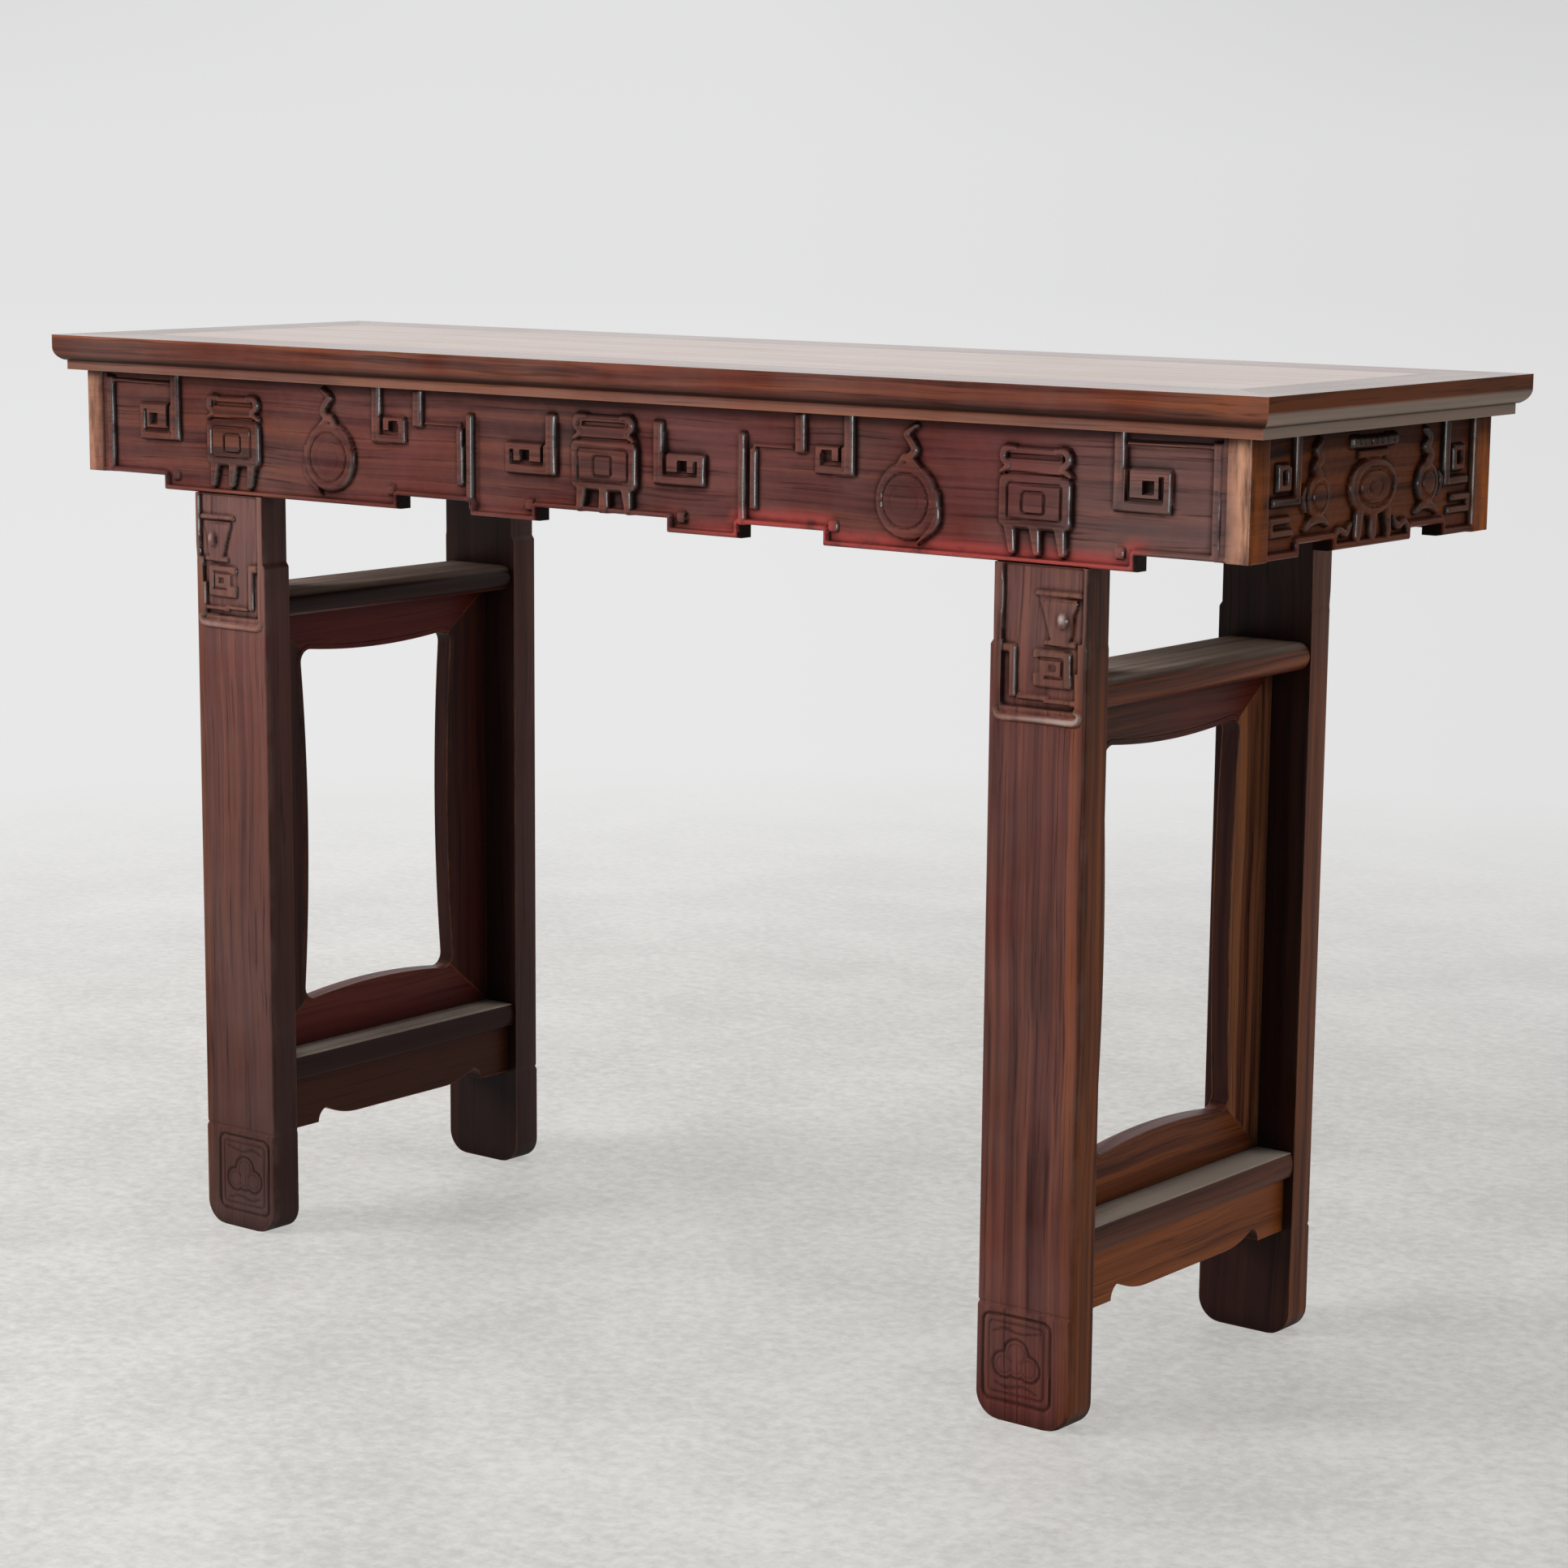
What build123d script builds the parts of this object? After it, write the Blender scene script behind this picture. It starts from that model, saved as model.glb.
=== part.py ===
from build123d import *
import os

# Recessed-leg altar table of hardwood, held together by joints alone.
# A mitred frame with a floating panel rests on four board legs. The legs carry stepped, carved
# aprons on all four sides, and each pair of legs is closed by an end frame of two flat rails, a
# curved inner frame and shaped lower aprons.
# Millimetres. X runs along the front, the front faces -Y, Z is up, and the origin is on the floor
# under the middle of the top.

# ------------------------------------------------------------------ overall sizes
table_length = 1348.0
table_depth = 420.0
table_height = 850.0

# ------------------------------------------------------------------ fits
fit = 0.25                 # clearance on each side of a tongue or tenon
end_fit = 0.5              # spare depth beyond the tip of a tongue or tenon

# ------------------------------------------------------------------ top frame
frame_width = 68.0
frame_thickness = 33.0
edge_band = 12.0           # upright band at the top of the moulded edge
edge_round_depth = 8.0
edge_round_height = 12.0
edge_quirk = 2.0           # step from the round in to the lower fillet
corner_tenon_width = 26.0
corner_tenon_thickness = 12.0
corner_tenon_setback = 20.0    # wood left between the tip of the tenon and the outer edge
corner_tenon_inset = 28.0      # from the outer edge of the long rail to the tenon
corner_tenon_rise = 6.5        # from the underside of the frame to the tenon

# ------------------------------------------------------------------ panel and battens
panel_thickness = 12.0
panel_tongue = 7.0
panel_tongue_thickness = 6.0
board_names = ("top_board_front", "top_board_middle", "top_board_back")
board_tongue = 5.0
board_tongue_thickness = 4.0
board_tongue_drop = 3.0        # from the top face down to the tongue between boards
batten_count = 4
batten_width = 30.0
batten_depth = 18.0
batten_tenon = 14.0
batten_tenon_width = 16.0
batten_tenon_thickness = 10.0
dovetail_depth = 4.0
dovetail_neck = 18.0
dovetail_head = 22.0

# ------------------------------------------------------------------ aprons
apron_overhang_x = 25.0        # the top reaches this far past the end apron
apron_overhang_y = 20.0        # and this far past the long apron
apron_thickness = 20.0
apron_tongue_height = 5.0
apron_tongue_thickness = 6.0
apron_tongue_stop = 10.0       # the tongue ends this far inside the mitre
end_depth = 96.0               # height of the apron at its ends
drop_depth = 109.0             # height where it drops
rise_depth = 97.0              # height between the drops
outer_step_from_end = 104.0
outer_drop_inner_x = 241.0
inner_drop_outer_x = 152.0
inner_drop_inner_x = 74.0
side_corner_length = 77.0      # end apron: full-height stretch at each corner
side_notch_depth = 86.0
side_centre_half = 62.0
side_centre_depth = 95.0
leg_housing = 2.0              # shallow housing for the leg in the back of the apron

# ------------------------------------------------------------------ carving on the aprons
relief = 3.5                   # how far the carving stands above its ground
rim_width = 8.0
end_rim_width = 18.0
top_rim_width = 5.0
bar_width = 8.0
thin_bar_width = 6.0
spiral_inner_share = 0.45      # how far a square spiral turns back, as a share of its width
spiral_crown_share = 0.46      # and how high it climbs, as a share of its height
vessel_width = 66.0
vessel_body = 44.0             # height of the body
vessel_bottom = 82.0           # below the frame, to the underside of the body
vessel_corner_cut = 8.0
vessel_inner_cut = 4.0
vessel_boss_share = 0.34
vessel_neck_share = 0.6
vessel_foot_share = 0.36       # from the middle to an outer foot
vessel_foot_width = 10.5
disc_x = 328.0
disc_depth = 67.0
disc_radius = 32.0
disc_ring_width = 9.0
ribbon_width = 6.5
ribbon_rise = 13.0
outer_hook_from_step = 15.0    # from the outer step of the apron in to the bar
outer_hook_width = 40.0
outer_hook_height = 54.0
fret_x = 267.0
fret_width = 31.0
fret_height = 44.0
short_bar_from_fret = 50.0
short_bar_depths = (8.0, 30.0)
twin_bars = ((152.0, 24.0, 98.0), (168.0, 36.0, 80.0))    # place, top and bottom below the frame
centre_hook_x = 58.0
centre_hook_depth = 24.0
centre_hook_width = 46.0
centre_hook_height = 42.0
side_vessel_width = 72.0
side_vessel_bottom = 76.0
side_vessel_cut = 15.0
side_vessel_inner_cut = 10.0
side_hook_y = 118.0
side_hook_width = 34.0
side_hook_height = 44.0
side_disc_y = 84.0
side_disc_depth = 50.0
side_disc_radius = 19.0

# ------------------------------------------------------------------ carving on the legs
leg_relief = 1.5
leg_bar_width = 7.0
beaker_offset = 14.0           # from the middle of the leg outwards
beaker_drop = 26.0             # from the apron down to the mouth
beaker_width = 40.0
beaker_height = 32.0
beaker_rim = 5.0
beaker_mouth_share = 0.8       # widths of the body as shares of the rim
beaker_base_share = 0.4
beaker_foot_share = 0.6
spiral_width = 34.0
spiral_height = 28.0
spiral_rise = 22.0             # from the ledge up to the spiral
leg_hook_inset = 18.0
foot_rim = 10.0
foot_scroll_radius = 17.0

# ------------------------------------------------------------------ legs
leg_width = 89.0
leg_thickness = 31.5
leg_inset_x = 146.0            # from the end of the apron to the outer side of the leg
leg_face_setback = 1.5         # leg face behind the apron face
leg_front_round = 10.0
foot_height = 97.0
foot_swell = 1.5
foot_round = 14.0
ledge_top_below_apron = 119.0
ledge_height = 8.0
ledge_swell = 2.5
ledge_root = 6.0             # how far the ledge reaches back into the leg
head_block_height = 62.0
head_shoulder = 14.0
leg_tenon_width = 60.0
leg_tenon_thickness = 9.0
leg_tenon_height = 16.0

# ------------------------------------------------------------------ end frames
upper_rail_top = 617.0
upper_rail_height = 24.0
lower_rail_top = 168.0
lower_rail_height = 22.0
upper_rail_bulge = 10.0
lower_rail_bulge = 2.0
rail_tenon = 20.0
rail_tenon_width = 20.0
rail_tenon_thickness = 12.0
rail_tenon_spacing = 44.0
inner_frame_thickness = 16.0
inner_frame_tongue = 5.0
inner_frame_tongue_thickness = 6.0
inner_frame_tongue_stop = 8.0
side_member_middle = 59.0      # width of the upright members at mid height
side_member_end = 51.0         # and at the corners
top_member_middle = 44.0
top_member_end = 37.0
bottom_member_middle = 50.0
bottom_member_end = 42.0
opening_corner_round = 12.0
bead_width = 5.0
bead_height = 1.0
mitre_overrun = 1.5            # the mitre is drawn this many times the width of a member
lower_apron_thickness = 14.0
lower_apron_setback = 9.0
lower_apron_foot_depth = 50.0
lower_apron_notch_depth = 37.0
lower_apron_middle_depth = 48.0
lower_apron_foot_length = 41.0
lower_apron_step_length = 10.0
lower_apron_slope_end = 62.0   # half length of the level middle
lower_apron_tongue = 5.0
lower_apron_tongue_thickness = 5.0

# ------------------------------------------------------------------ worked-out places
half_length = table_length / 2
half_depth = table_depth / 2
soffit = table_height - frame_thickness
inner_x = half_length - frame_width
inner_y = half_depth - frame_width
panel_bottom = table_height - panel_thickness
apron_half = half_length - apron_overhang_x
apron_half_y = half_depth - apron_overhang_y
apron_back = apron_half_y - apron_thickness
apron_back_x = apron_half - apron_thickness
leg_outer = apron_half - leg_inset_x
leg_inner = leg_outer - leg_width
leg_centre = (leg_outer + leg_inner) / 2
leg_face = apron_half_y - leg_face_setback
leg_back = leg_face - leg_thickness
cheek_face = apron_back + leg_housing - fit
leg_tenon_centre = (cheek_face + leg_back) / 2
shoulder = soffit - drop_depth
ledge_top = shoulder - ledge_top_below_apron
board_width = 2 * inner_y / len(board_names)
board_tongue_top = table_height - board_tongue_drop
board_tongue_bottom = board_tongue_top - board_tongue_thickness
batten_pitch = 2 * inner_x / (batten_count + 1)
batten_places = [-inner_x + batten_pitch * (i + 1) for i in range(batten_count)]
batten_tenon_bottom = panel_bottom - batten_depth + (batten_depth - batten_tenon_thickness) / 2
upper_rail_bottom = upper_rail_top - upper_rail_height
lower_rail_bottom = lower_rail_top - lower_rail_height
apron_tongue_centre = apron_half_y - apron_thickness / 2
side_tongue_centre = apron_half - apron_thickness / 2
tongue_end_x = apron_back_x - apron_tongue_stop
tongue_end_y = apron_back - apron_tongue_stop
rail_places = ((upper_rail_bottom, upper_rail_height), (lower_rail_bottom, lower_rail_height))
lower_apron_inset = lower_apron_setback + lower_apron_thickness / 2
lower_apron_places = (leg_inner + lower_apron_inset, leg_outer - lower_apron_inset)

os.makedirs("parts", exist_ok=True)


def save(part, name):
    """Label a finished piece and write it."""
    part.label = name
    export_step(part, f"parts/{name}.step")


def save_mirrored(part, plane, name):
    """Write the same piece for the other side of the table."""
    with BuildPart() as twin:
        mirror(part, about=plane)
    save(twin.part, name)
    return twin.part


def block(x, y, z, mode=Mode.ADD):
    """Rectangular block between a low and a high bound on each axis."""
    with Locations(((x[0] + x[1]) / 2, (y[0] + y[1]) / 2, (z[0] + z[1]) / 2)):
        Box(x[1] - x[0], y[1] - y[0], z[1] - z[0], mode=mode)


def around(centre, width, spare=0.0):
    """Bounds of a width about its centre, with spare room on both sides."""
    return (centre - width / 2 - spare, centre + width / 2 + spare)


# ------------------------------------------------------------------ top frame
def edge_section(plane, edge):
    """Section of a frame rail: flat band, round, quirk and lower fillet on its outer side."""
    round_top = table_height - edge_band
    round_bottom = round_top - edge_round_height
    fillet_face = edge - edge_round_depth - edge_quirk
    with BuildSketch(plane) as section:
        with BuildLine():
            Polyline((edge - edge_round_depth, round_bottom), (fillet_face, round_bottom),
                     (fillet_face, soffit), (edge - frame_width, soffit),
                     (edge - frame_width, table_height), (edge, table_height), (edge, round_top))
            TangentArc((edge, round_top), (edge - edge_round_depth, round_bottom), tangent=(0, -1))
        make_face()
    return section.sketch


def panel_groove(x, y):
    """Groove for the tongue of the panel, which rests on the groove's lower side."""
    groove_top = panel_bottom + panel_tongue_thickness + fit
    block(x, y, (panel_bottom, groove_top), Mode.SUBTRACT)


def corner_tenon(side, spare=0.0, tip=0.0):
    """Bounds of the tenon that a long rail (at +Y) sends into the end rail."""
    outer_y = half_depth - corner_tenon_inset
    bottom = soffit + corner_tenon_rise
    x = sorted((side * inner_x, side * (half_length - corner_tenon_setback + tip)))
    y = (outer_y - corner_tenon_width - spare, outer_y + spare)
    z = (bottom - spare, bottom + corner_tenon_thickness + spare)
    return x, y, z


with BuildPart() as top_rail_back:
    with BuildSketch(Plane.XY.offset(soffit)):
        Polygon((-half_length, half_depth), (half_length, half_depth),
                (inner_x, inner_y), (-inner_x, inner_y), align=None)
    extrude(amount=frame_thickness)
    extrude(edge_section(Plane.YZ, half_depth), half_length, both=True, mode=Mode.INTERSECT)
    panel_groove((-half_length, half_length), (inner_y, inner_y + panel_tongue + end_fit))
    for side in (-1, 1):
        block(*corner_tenon(side))
        block(around(side * leg_centre, leg_tenon_width, fit),
              around(leg_tenon_centre, leg_tenon_thickness, fit),
              (soffit, soffit + leg_tenon_height + end_fit), Mode.SUBTRACT)
    for place in batten_places:
        block(around(place, batten_tenon_width, fit),
              (inner_y, inner_y + batten_tenon + end_fit),
              (batten_tenon_bottom - fit, batten_tenon_bottom + batten_tenon_thickness + fit),
              Mode.SUBTRACT)
    block((-tongue_end_x - fit, tongue_end_x + fit),
          around(apron_tongue_centre, apron_tongue_thickness, fit),
          (soffit, soffit + apron_tongue_height + end_fit), Mode.SUBTRACT)
save(top_rail_back.part, "top_rail_back")
save_mirrored(top_rail_back.part, Plane.XZ, "top_rail_front")

with BuildPart() as top_end_right:
    with BuildSketch(Plane.XY.offset(soffit)):
        Polygon((half_length, -half_depth), (half_length, half_depth),
                (inner_x, inner_y), (inner_x, -inner_y), align=None)
    extrude(amount=frame_thickness)
    extrude(edge_section(Plane.XZ, half_length), half_depth, both=True, mode=Mode.INTERSECT)
    panel_groove((inner_x, inner_x + panel_tongue + end_fit), (-half_depth, half_depth))
    tenon_x, tenon_y, tenon_z = corner_tenon(1, fit, end_fit)
    block(tenon_x, tenon_y, tenon_z, Mode.SUBTRACT)
    block(tenon_x, (-tenon_y[1], -tenon_y[0]), tenon_z, Mode.SUBTRACT)
    block(around(side_tongue_centre, apron_tongue_thickness, fit),
          (-tongue_end_y - fit, tongue_end_y + fit),
          (soffit, soffit + apron_tongue_height + end_fit), Mode.SUBTRACT)
save(top_end_right.part, "top_end_right")
save_mirrored(top_end_right.part, Plane.YZ, "top_end_left")


# ------------------------------------------------------------------ panel boards and battens
def dovetail(place, bottom, spare=0.0):
    """Section of the dovetail that slides across the underside of the panel."""
    Polygon((place - dovetail_neck / 2 - spare, bottom),
            (place + dovetail_neck / 2 + spare, bottom),
            (place + dovetail_head / 2 + spare, bottom + dovetail_depth + spare),
            (place - dovetail_head / 2 - spare, bottom + dovetail_depth + spare), align=None)


for i, name in enumerate(board_names):
    near = -inner_y + board_width * i
    far = near + board_width
    first = i == 0
    last = i == len(board_names) - 1
    with BuildPart() as board:
        block((-inner_x, inner_x), (near, far), (panel_bottom, table_height))
        low = near - panel_tongue if first else near
        high = far + panel_tongue if last else far
        block((-inner_x - panel_tongue, inner_x + panel_tongue), (low, high),
              (panel_bottom, panel_bottom + panel_tongue_thickness))
        if not last:
            block((-inner_x, inner_x), (far, far + board_tongue),
                  (board_tongue_bottom, board_tongue_top))
        if not first:
            block((-inner_x - panel_tongue, inner_x + panel_tongue),
                  (near, near + board_tongue + end_fit),
                  (board_tongue_bottom - fit, board_tongue_top + fit), Mode.SUBTRACT)
        with BuildSketch(Plane.XZ):
            for place in batten_places:
                dovetail(place, panel_bottom, fit)
        extrude(amount=half_depth, both=True, mode=Mode.SUBTRACT)
    save(board.part, name)

for i, place in enumerate(batten_places):
    with BuildPart() as batten:
        block(around(place, batten_width), (-inner_y, inner_y),
              (panel_bottom - batten_depth, panel_bottom))
        with BuildSketch(Plane.XZ):
            dovetail(place, panel_bottom)
        extrude(amount=inner_y, both=True)
        block(around(place, batten_tenon_width), (-inner_y - batten_tenon, inner_y + batten_tenon),
              (batten_tenon_bottom, batten_tenon_bottom + batten_tenon_thickness))
    save(batten.part, f"top_batten_{i + 1}")


# ------------------------------------------------------------------ carving
def below(distance):
    """Height of a point given by its distance below the frame."""
    return soffit - distance


def bar_path(points, width=bar_width):
    """Square-cornered raised bar along a chain of upright and level runs."""
    for (x1, z1), (x2, z2) in zip(points, points[1:]):
        with Locations(((x1 + x2) / 2, (z1 + z2) / 2)):
            Rectangle(abs(x2 - x1) + width, abs(z2 - z1) + width)


def hooked_spiral(x, turn, top, width, height):
    """Bar that falls from the top and turns back on itself as a square spiral."""
    far = x + turn * width
    back = x + turn * width * spiral_inner_share
    foot = below(top + height)
    crown = foot + height * spiral_crown_share
    bar_path([(x, below(top)), (x, foot), (far, foot), (far, crown), (back, crown),
              (back, crown - bar_width)])


def cut_corner_plate(x, z, width, height, cut, mode=Mode.ADD):
    """Rectangle about a centre with its four corners cut off."""
    half_width = width / 2
    half_height = height / 2
    corner = [(half_width, half_height - cut), (half_width - cut, half_height)]
    outline = corner + [(-px, pz) for px, pz in reversed(corner)]
    outline += [(-px, -pz) for px, pz in corner] + [(px, -pz) for px, pz in reversed(corner)]
    Polygon(*[(x + px, z + pz) for px, pz in outline], align=None, mode=mode)


def vessel(x, width, bottom, cut, inner_cut):
    """Archaic bronze vessel: framed body with a boss, neck, mouth bar and three feet."""
    body_bottom = below(bottom)
    body_top = body_bottom + vessel_body
    middle = (body_bottom + body_top) / 2
    cut_corner_plate(x, middle, width, vessel_body, cut)
    cut_corner_plate(x, middle, width - 2 * bar_width, vessel_body - 2 * bar_width, inner_cut,
                     Mode.SUBTRACT)
    with Locations((x, middle)):
        Rectangle(width * vessel_boss_share, vessel_body * vessel_boss_share)
    with Locations((x, body_top + bar_width)):
        Rectangle(width * vessel_neck_share, 2 * bar_width)
    with Locations((x, body_top + 2 * bar_width)):
        Rectangle(width, bar_width)
    for k in (-1, 0, 1):
        with Locations((x + k * width * vessel_foot_share, body_bottom - bar_width)):
            Rectangle(vessel_foot_width, 2 * bar_width)


def ribboned_disc(x, depth, radius):
    """Ring-shaped jade disc hung from a short ribbon."""
    with Locations((x, below(depth))):
        Circle(radius)
        Circle(radius - disc_ring_width, mode=Mode.SUBTRACT)
    knot = below(depth - radius - bar_width / 2)
    bar_path([(x - bar_width, knot), (x + bar_width, knot)], ribbon_width)
    bar_path([(x, knot), (x, knot + ribbon_rise), (x + bar_width, knot + ribbon_rise),
              (x + bar_width, below(top_rim_width))], ribbon_width)


def raised_rim(points):
    """Flat border that follows the outline of an apron round its sunk ground."""
    outline = Polygon(*points, align=None)
    offset(outline, amount=-rim_width, kind=Kind.INTERSECTION, mode=Mode.SUBTRACT)
    half = points[0][0]
    for side in (-1, 1):
        with Locations((side * (half - end_rim_width / 2), below(end_depth / 2))):
            Rectangle(end_rim_width, end_depth)


def mirrored_outline(half_points):
    """Close an outline that is the same on both sides of X = 0."""
    return half_points + [(-x, z) for x, z in reversed(half_points)]


# ------------------------------------------------------------------ long aprons
outer_step = apron_half - outer_step_from_end
long_outline = mirrored_outline([
    (apron_half, soffit), (apron_half, below(end_depth)),
    (outer_step, below(end_depth)), (outer_step, below(drop_depth)),
    (outer_drop_inner_x, below(drop_depth)), (outer_drop_inner_x, below(rise_depth)),
    (inner_drop_outer_x, below(rise_depth)), (inner_drop_outer_x, below(drop_depth)),
    (inner_drop_inner_x, below(drop_depth)), (inner_drop_inner_x, below(rise_depth))])

with BuildPart() as apron_back_board:
    with BuildSketch(Plane.XZ.offset(-apron_half_y + relief)):
        Polygon(*long_outline, align=None)
    extrude(amount=apron_thickness - relief)
    with BuildSketch(Plane.XZ.offset(-apron_half_y)):
        raised_rim(long_outline)
        vessel(0, vessel_width, vessel_bottom, vessel_corner_cut, vessel_inner_cut)
        for side in (-1, 1):
            bead_x = side * (apron_half - end_rim_width - bar_width)
            bar_path([(bead_x, below(top_rim_width)), (bead_x, below(end_depth - bar_width))],
                     thin_bar_width)
            hooked_spiral(side * (outer_step - outer_hook_from_step), side, top_rim_width,
                          outer_hook_width, outer_hook_height)
            vessel(side * leg_centre, vessel_width, vessel_bottom, vessel_corner_cut,
                   vessel_inner_cut)
            ribboned_disc(side * disc_x, disc_depth, disc_radius)
            hooked_spiral(side * fret_x, -side, top_rim_width, fret_width, fret_height)
            short_bar_x = side * (fret_x - short_bar_from_fret)
            bar_path([(short_bar_x, below(depth)) for depth in short_bar_depths])
            for bar_x, bar_top, bar_bottom in twin_bars:
                bar_path([(side * bar_x, below(bar_top)), (side * bar_x, below(bar_bottom))])
            hooked_spiral(side * centre_hook_x, side, centre_hook_depth, centre_hook_width,
                          centre_hook_height)
    extrude(amount=relief)
    with BuildSketch(Plane.XY.offset(below(drop_depth))):
        Polygon((-apron_half, apron_half_y), (apron_half, apron_half_y),
                (apron_back_x, apron_back), (-apron_back_x, apron_back), align=None)
    extrude(amount=drop_depth, mode=Mode.INTERSECT)
    for side in (-1, 1):
        block(around(side * leg_centre, leg_width, fit), (apron_back, apron_back + leg_housing),
              (below(drop_depth), soffit), Mode.SUBTRACT)
    block((-tongue_end_x, tongue_end_x), around(apron_tongue_centre, apron_tongue_thickness),
          (soffit, soffit + apron_tongue_height))
save(apron_back_board.part, "apron_back")
save_mirrored(apron_back_board.part, Plane.XZ, "apron_front")

# ------------------------------------------------------------------ end aprons
side_step = apron_half_y - side_corner_length
side_outline = mirrored_outline([
    (apron_half_y, soffit), (apron_half_y, below(end_depth)),
    (side_step, below(end_depth)), (side_step, below(side_notch_depth)),
    (side_centre_half, below(side_notch_depth)), (side_centre_half, below(side_centre_depth))])

with BuildPart() as apron_right:
    with BuildSketch(Plane.YZ.offset(apron_back_x)):
        Polygon(*side_outline, align=None)
    extrude(amount=apron_thickness - relief)
    with BuildSketch(Plane.YZ.offset(apron_half - relief)):
        raised_rim(side_outline)
        vessel(0, side_vessel_width, side_vessel_bottom, side_vessel_cut, side_vessel_inner_cut)
        for side in (-1, 1):
            hooked_spiral(side * side_hook_y, side, top_rim_width, side_hook_width,
                          side_hook_height)
            ribboned_disc(side * side_disc_y, side_disc_depth, side_disc_radius)
    extrude(amount=relief)
    with BuildSketch(Plane.XY.offset(below(end_depth))):
        Polygon((apron_half, -apron_half_y), (apron_half, apron_half_y),
                (apron_back_x, apron_back), (apron_back_x, -apron_back), align=None)
    extrude(amount=end_depth, mode=Mode.INTERSECT)
    block(around(side_tongue_centre, apron_tongue_thickness), (-tongue_end_y, tongue_end_y),
          (soffit, soffit + apron_tongue_height))
save(apron_right.part, "apron_right")
save_mirrored(apron_right.part, Plane.YZ, "apron_left")


# ------------------------------------------------------------------ legs
def leg_head_carving():
    """Beaker, square spiral and hook on the face of a leg, just under the apron."""
    beaker_x = leg_centre + beaker_offset
    mouth = shoulder - beaker_drop
    base = mouth - beaker_height
    mouth_half = beaker_width * beaker_mouth_share / 2
    base_half = beaker_width * beaker_base_share / 2
    with Locations((beaker_x, mouth)):
        Rectangle(beaker_width, beaker_rim)
    Polygon((beaker_x - mouth_half, mouth), (beaker_x + mouth_half, mouth),
            (beaker_x + base_half, base), (beaker_x - base_half, base), align=None)
    with Locations((beaker_x, base)):
        Rectangle(beaker_width * beaker_foot_share, beaker_rim)
    left = beaker_x - (spiral_width + leg_bar_width) / 2
    right = left + spiral_width
    low = ledge_top + spiral_rise
    high = low + spiral_height
    bar_path([(left, high), (right, high), (right, low), (left, low),
              (left, low + spiral_height / 2), (left + spiral_width / 2, low + spiral_height / 2)],
             leg_bar_width)
    hook_x = leg_inner + leg_hook_inset
    bar_path([(hook_x - leg_bar_width, high), (hook_x, high), (hook_x, low - leg_bar_width)],
             leg_bar_width)


with BuildPart() as leg_back_right:
    with BuildSketch(Plane.XY):
        with Locations((leg_centre, (leg_face + leg_back) / 2)):
            Rectangle(leg_width, leg_thickness)
        fillet(vertices().group_by(Axis.Y)[-1], leg_front_round)
    extrude(amount=shoulder)
    block((leg_inner - foot_swell, leg_outer), (leg_back, leg_face + foot_swell), (0, foot_height))
    fillet(edges().filter_by(Axis.Y).group_by(Axis.Z)[0], foot_round)
    with BuildSketch(Plane.XZ.offset(-leg_face)):
        Polygon((leg_inner, shoulder), (leg_outer, shoulder),
                (leg_outer, shoulder - head_block_height + head_shoulder),
                (leg_outer - leg_front_round, shoulder - head_block_height),
                (leg_inner + leg_front_round, shoulder - head_block_height),
                (leg_inner, shoulder - head_block_height + head_shoulder), align=None)
    extrude(amount=leg_thickness)
    block((leg_inner, leg_outer - leg_front_round), (leg_face - ledge_root, leg_face + ledge_swell),
          (ledge_top - ledge_height, ledge_top))
    with BuildSketch(Plane.XZ.offset(-leg_face - leg_relief)):
        leg_head_carving()
    extrude(amount=leg_relief)
    foot_face = leg_face + foot_swell
    with BuildSketch(Plane.XZ.offset(-foot_face)):
        with Locations((leg_centre, (foot_height + foot_round) / 2)):
            Rectangle(leg_width - 2 * foot_rim, foot_height - foot_round - 2 * foot_rim)
        with Locations((leg_centre, foot_height / 2)):
            Circle(foot_scroll_radius, mode=Mode.SUBTRACT)
    extrude(amount=foot_swell, mode=Mode.SUBTRACT)
    block((leg_inner, leg_outer), (leg_back, cheek_face), (shoulder, soffit))
    block(around(leg_centre, leg_tenon_width), around(leg_tenon_centre, leg_tenon_thickness),
          (soffit, soffit + leg_tenon_height))
    for rail_bottom, rail_height in rail_places:
        for side in (-1, 1):
            block(around(leg_centre + side * rail_tenon_spacing / 2, rail_tenon_width, fit),
                  (leg_back, leg_back + rail_tenon + end_fit),
                  around(rail_bottom + rail_height / 2, rail_tenon_thickness, fit),
                  Mode.SUBTRACT)
    block(around(leg_centre, inner_frame_tongue_thickness, fit),
          (leg_back, leg_back + inner_frame_tongue + end_fit),
          (lower_rail_top + inner_frame_tongue_stop - fit,
           upper_rail_bottom - inner_frame_tongue_stop + fit), Mode.SUBTRACT)
save(leg_back_right.part, "leg_back_right")
leg_back_left = save_mirrored(leg_back_right.part, Plane.YZ, "leg_back_left")
save_mirrored(leg_back_right.part, Plane.XZ, "leg_front_right")
save_mirrored(leg_back_left, Plane.XZ, "leg_front_left")


# ------------------------------------------------------------------ rails of the end frames
def rail_section(bottom, height, bulge):
    """Section of a flat rail whose two long sides swell out to the faces of the legs."""
    top = bottom + height
    middle = bottom + height / 2
    near = leg_inner + bulge
    far = leg_outer - bulge
    with BuildSketch(Plane.XZ) as section:
        with BuildLine():
            Line((near, top), (far, top))
            ThreePointArc((far, top), (leg_outer, middle), (far, bottom))
            Line((far, bottom), (near, bottom))
            ThreePointArc((near, bottom), (leg_inner, middle), (near, top))
        make_face()
    return section.sketch


def rail_tenons(bottom, height):
    """Twin tenons at both ends of a rail."""
    for side in (-1, 1):
        block(around(leg_centre + side * rail_tenon_spacing / 2, rail_tenon_width),
              (-leg_back - rail_tenon, leg_back + rail_tenon),
              around(bottom + height / 2, rail_tenon_thickness))


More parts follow.
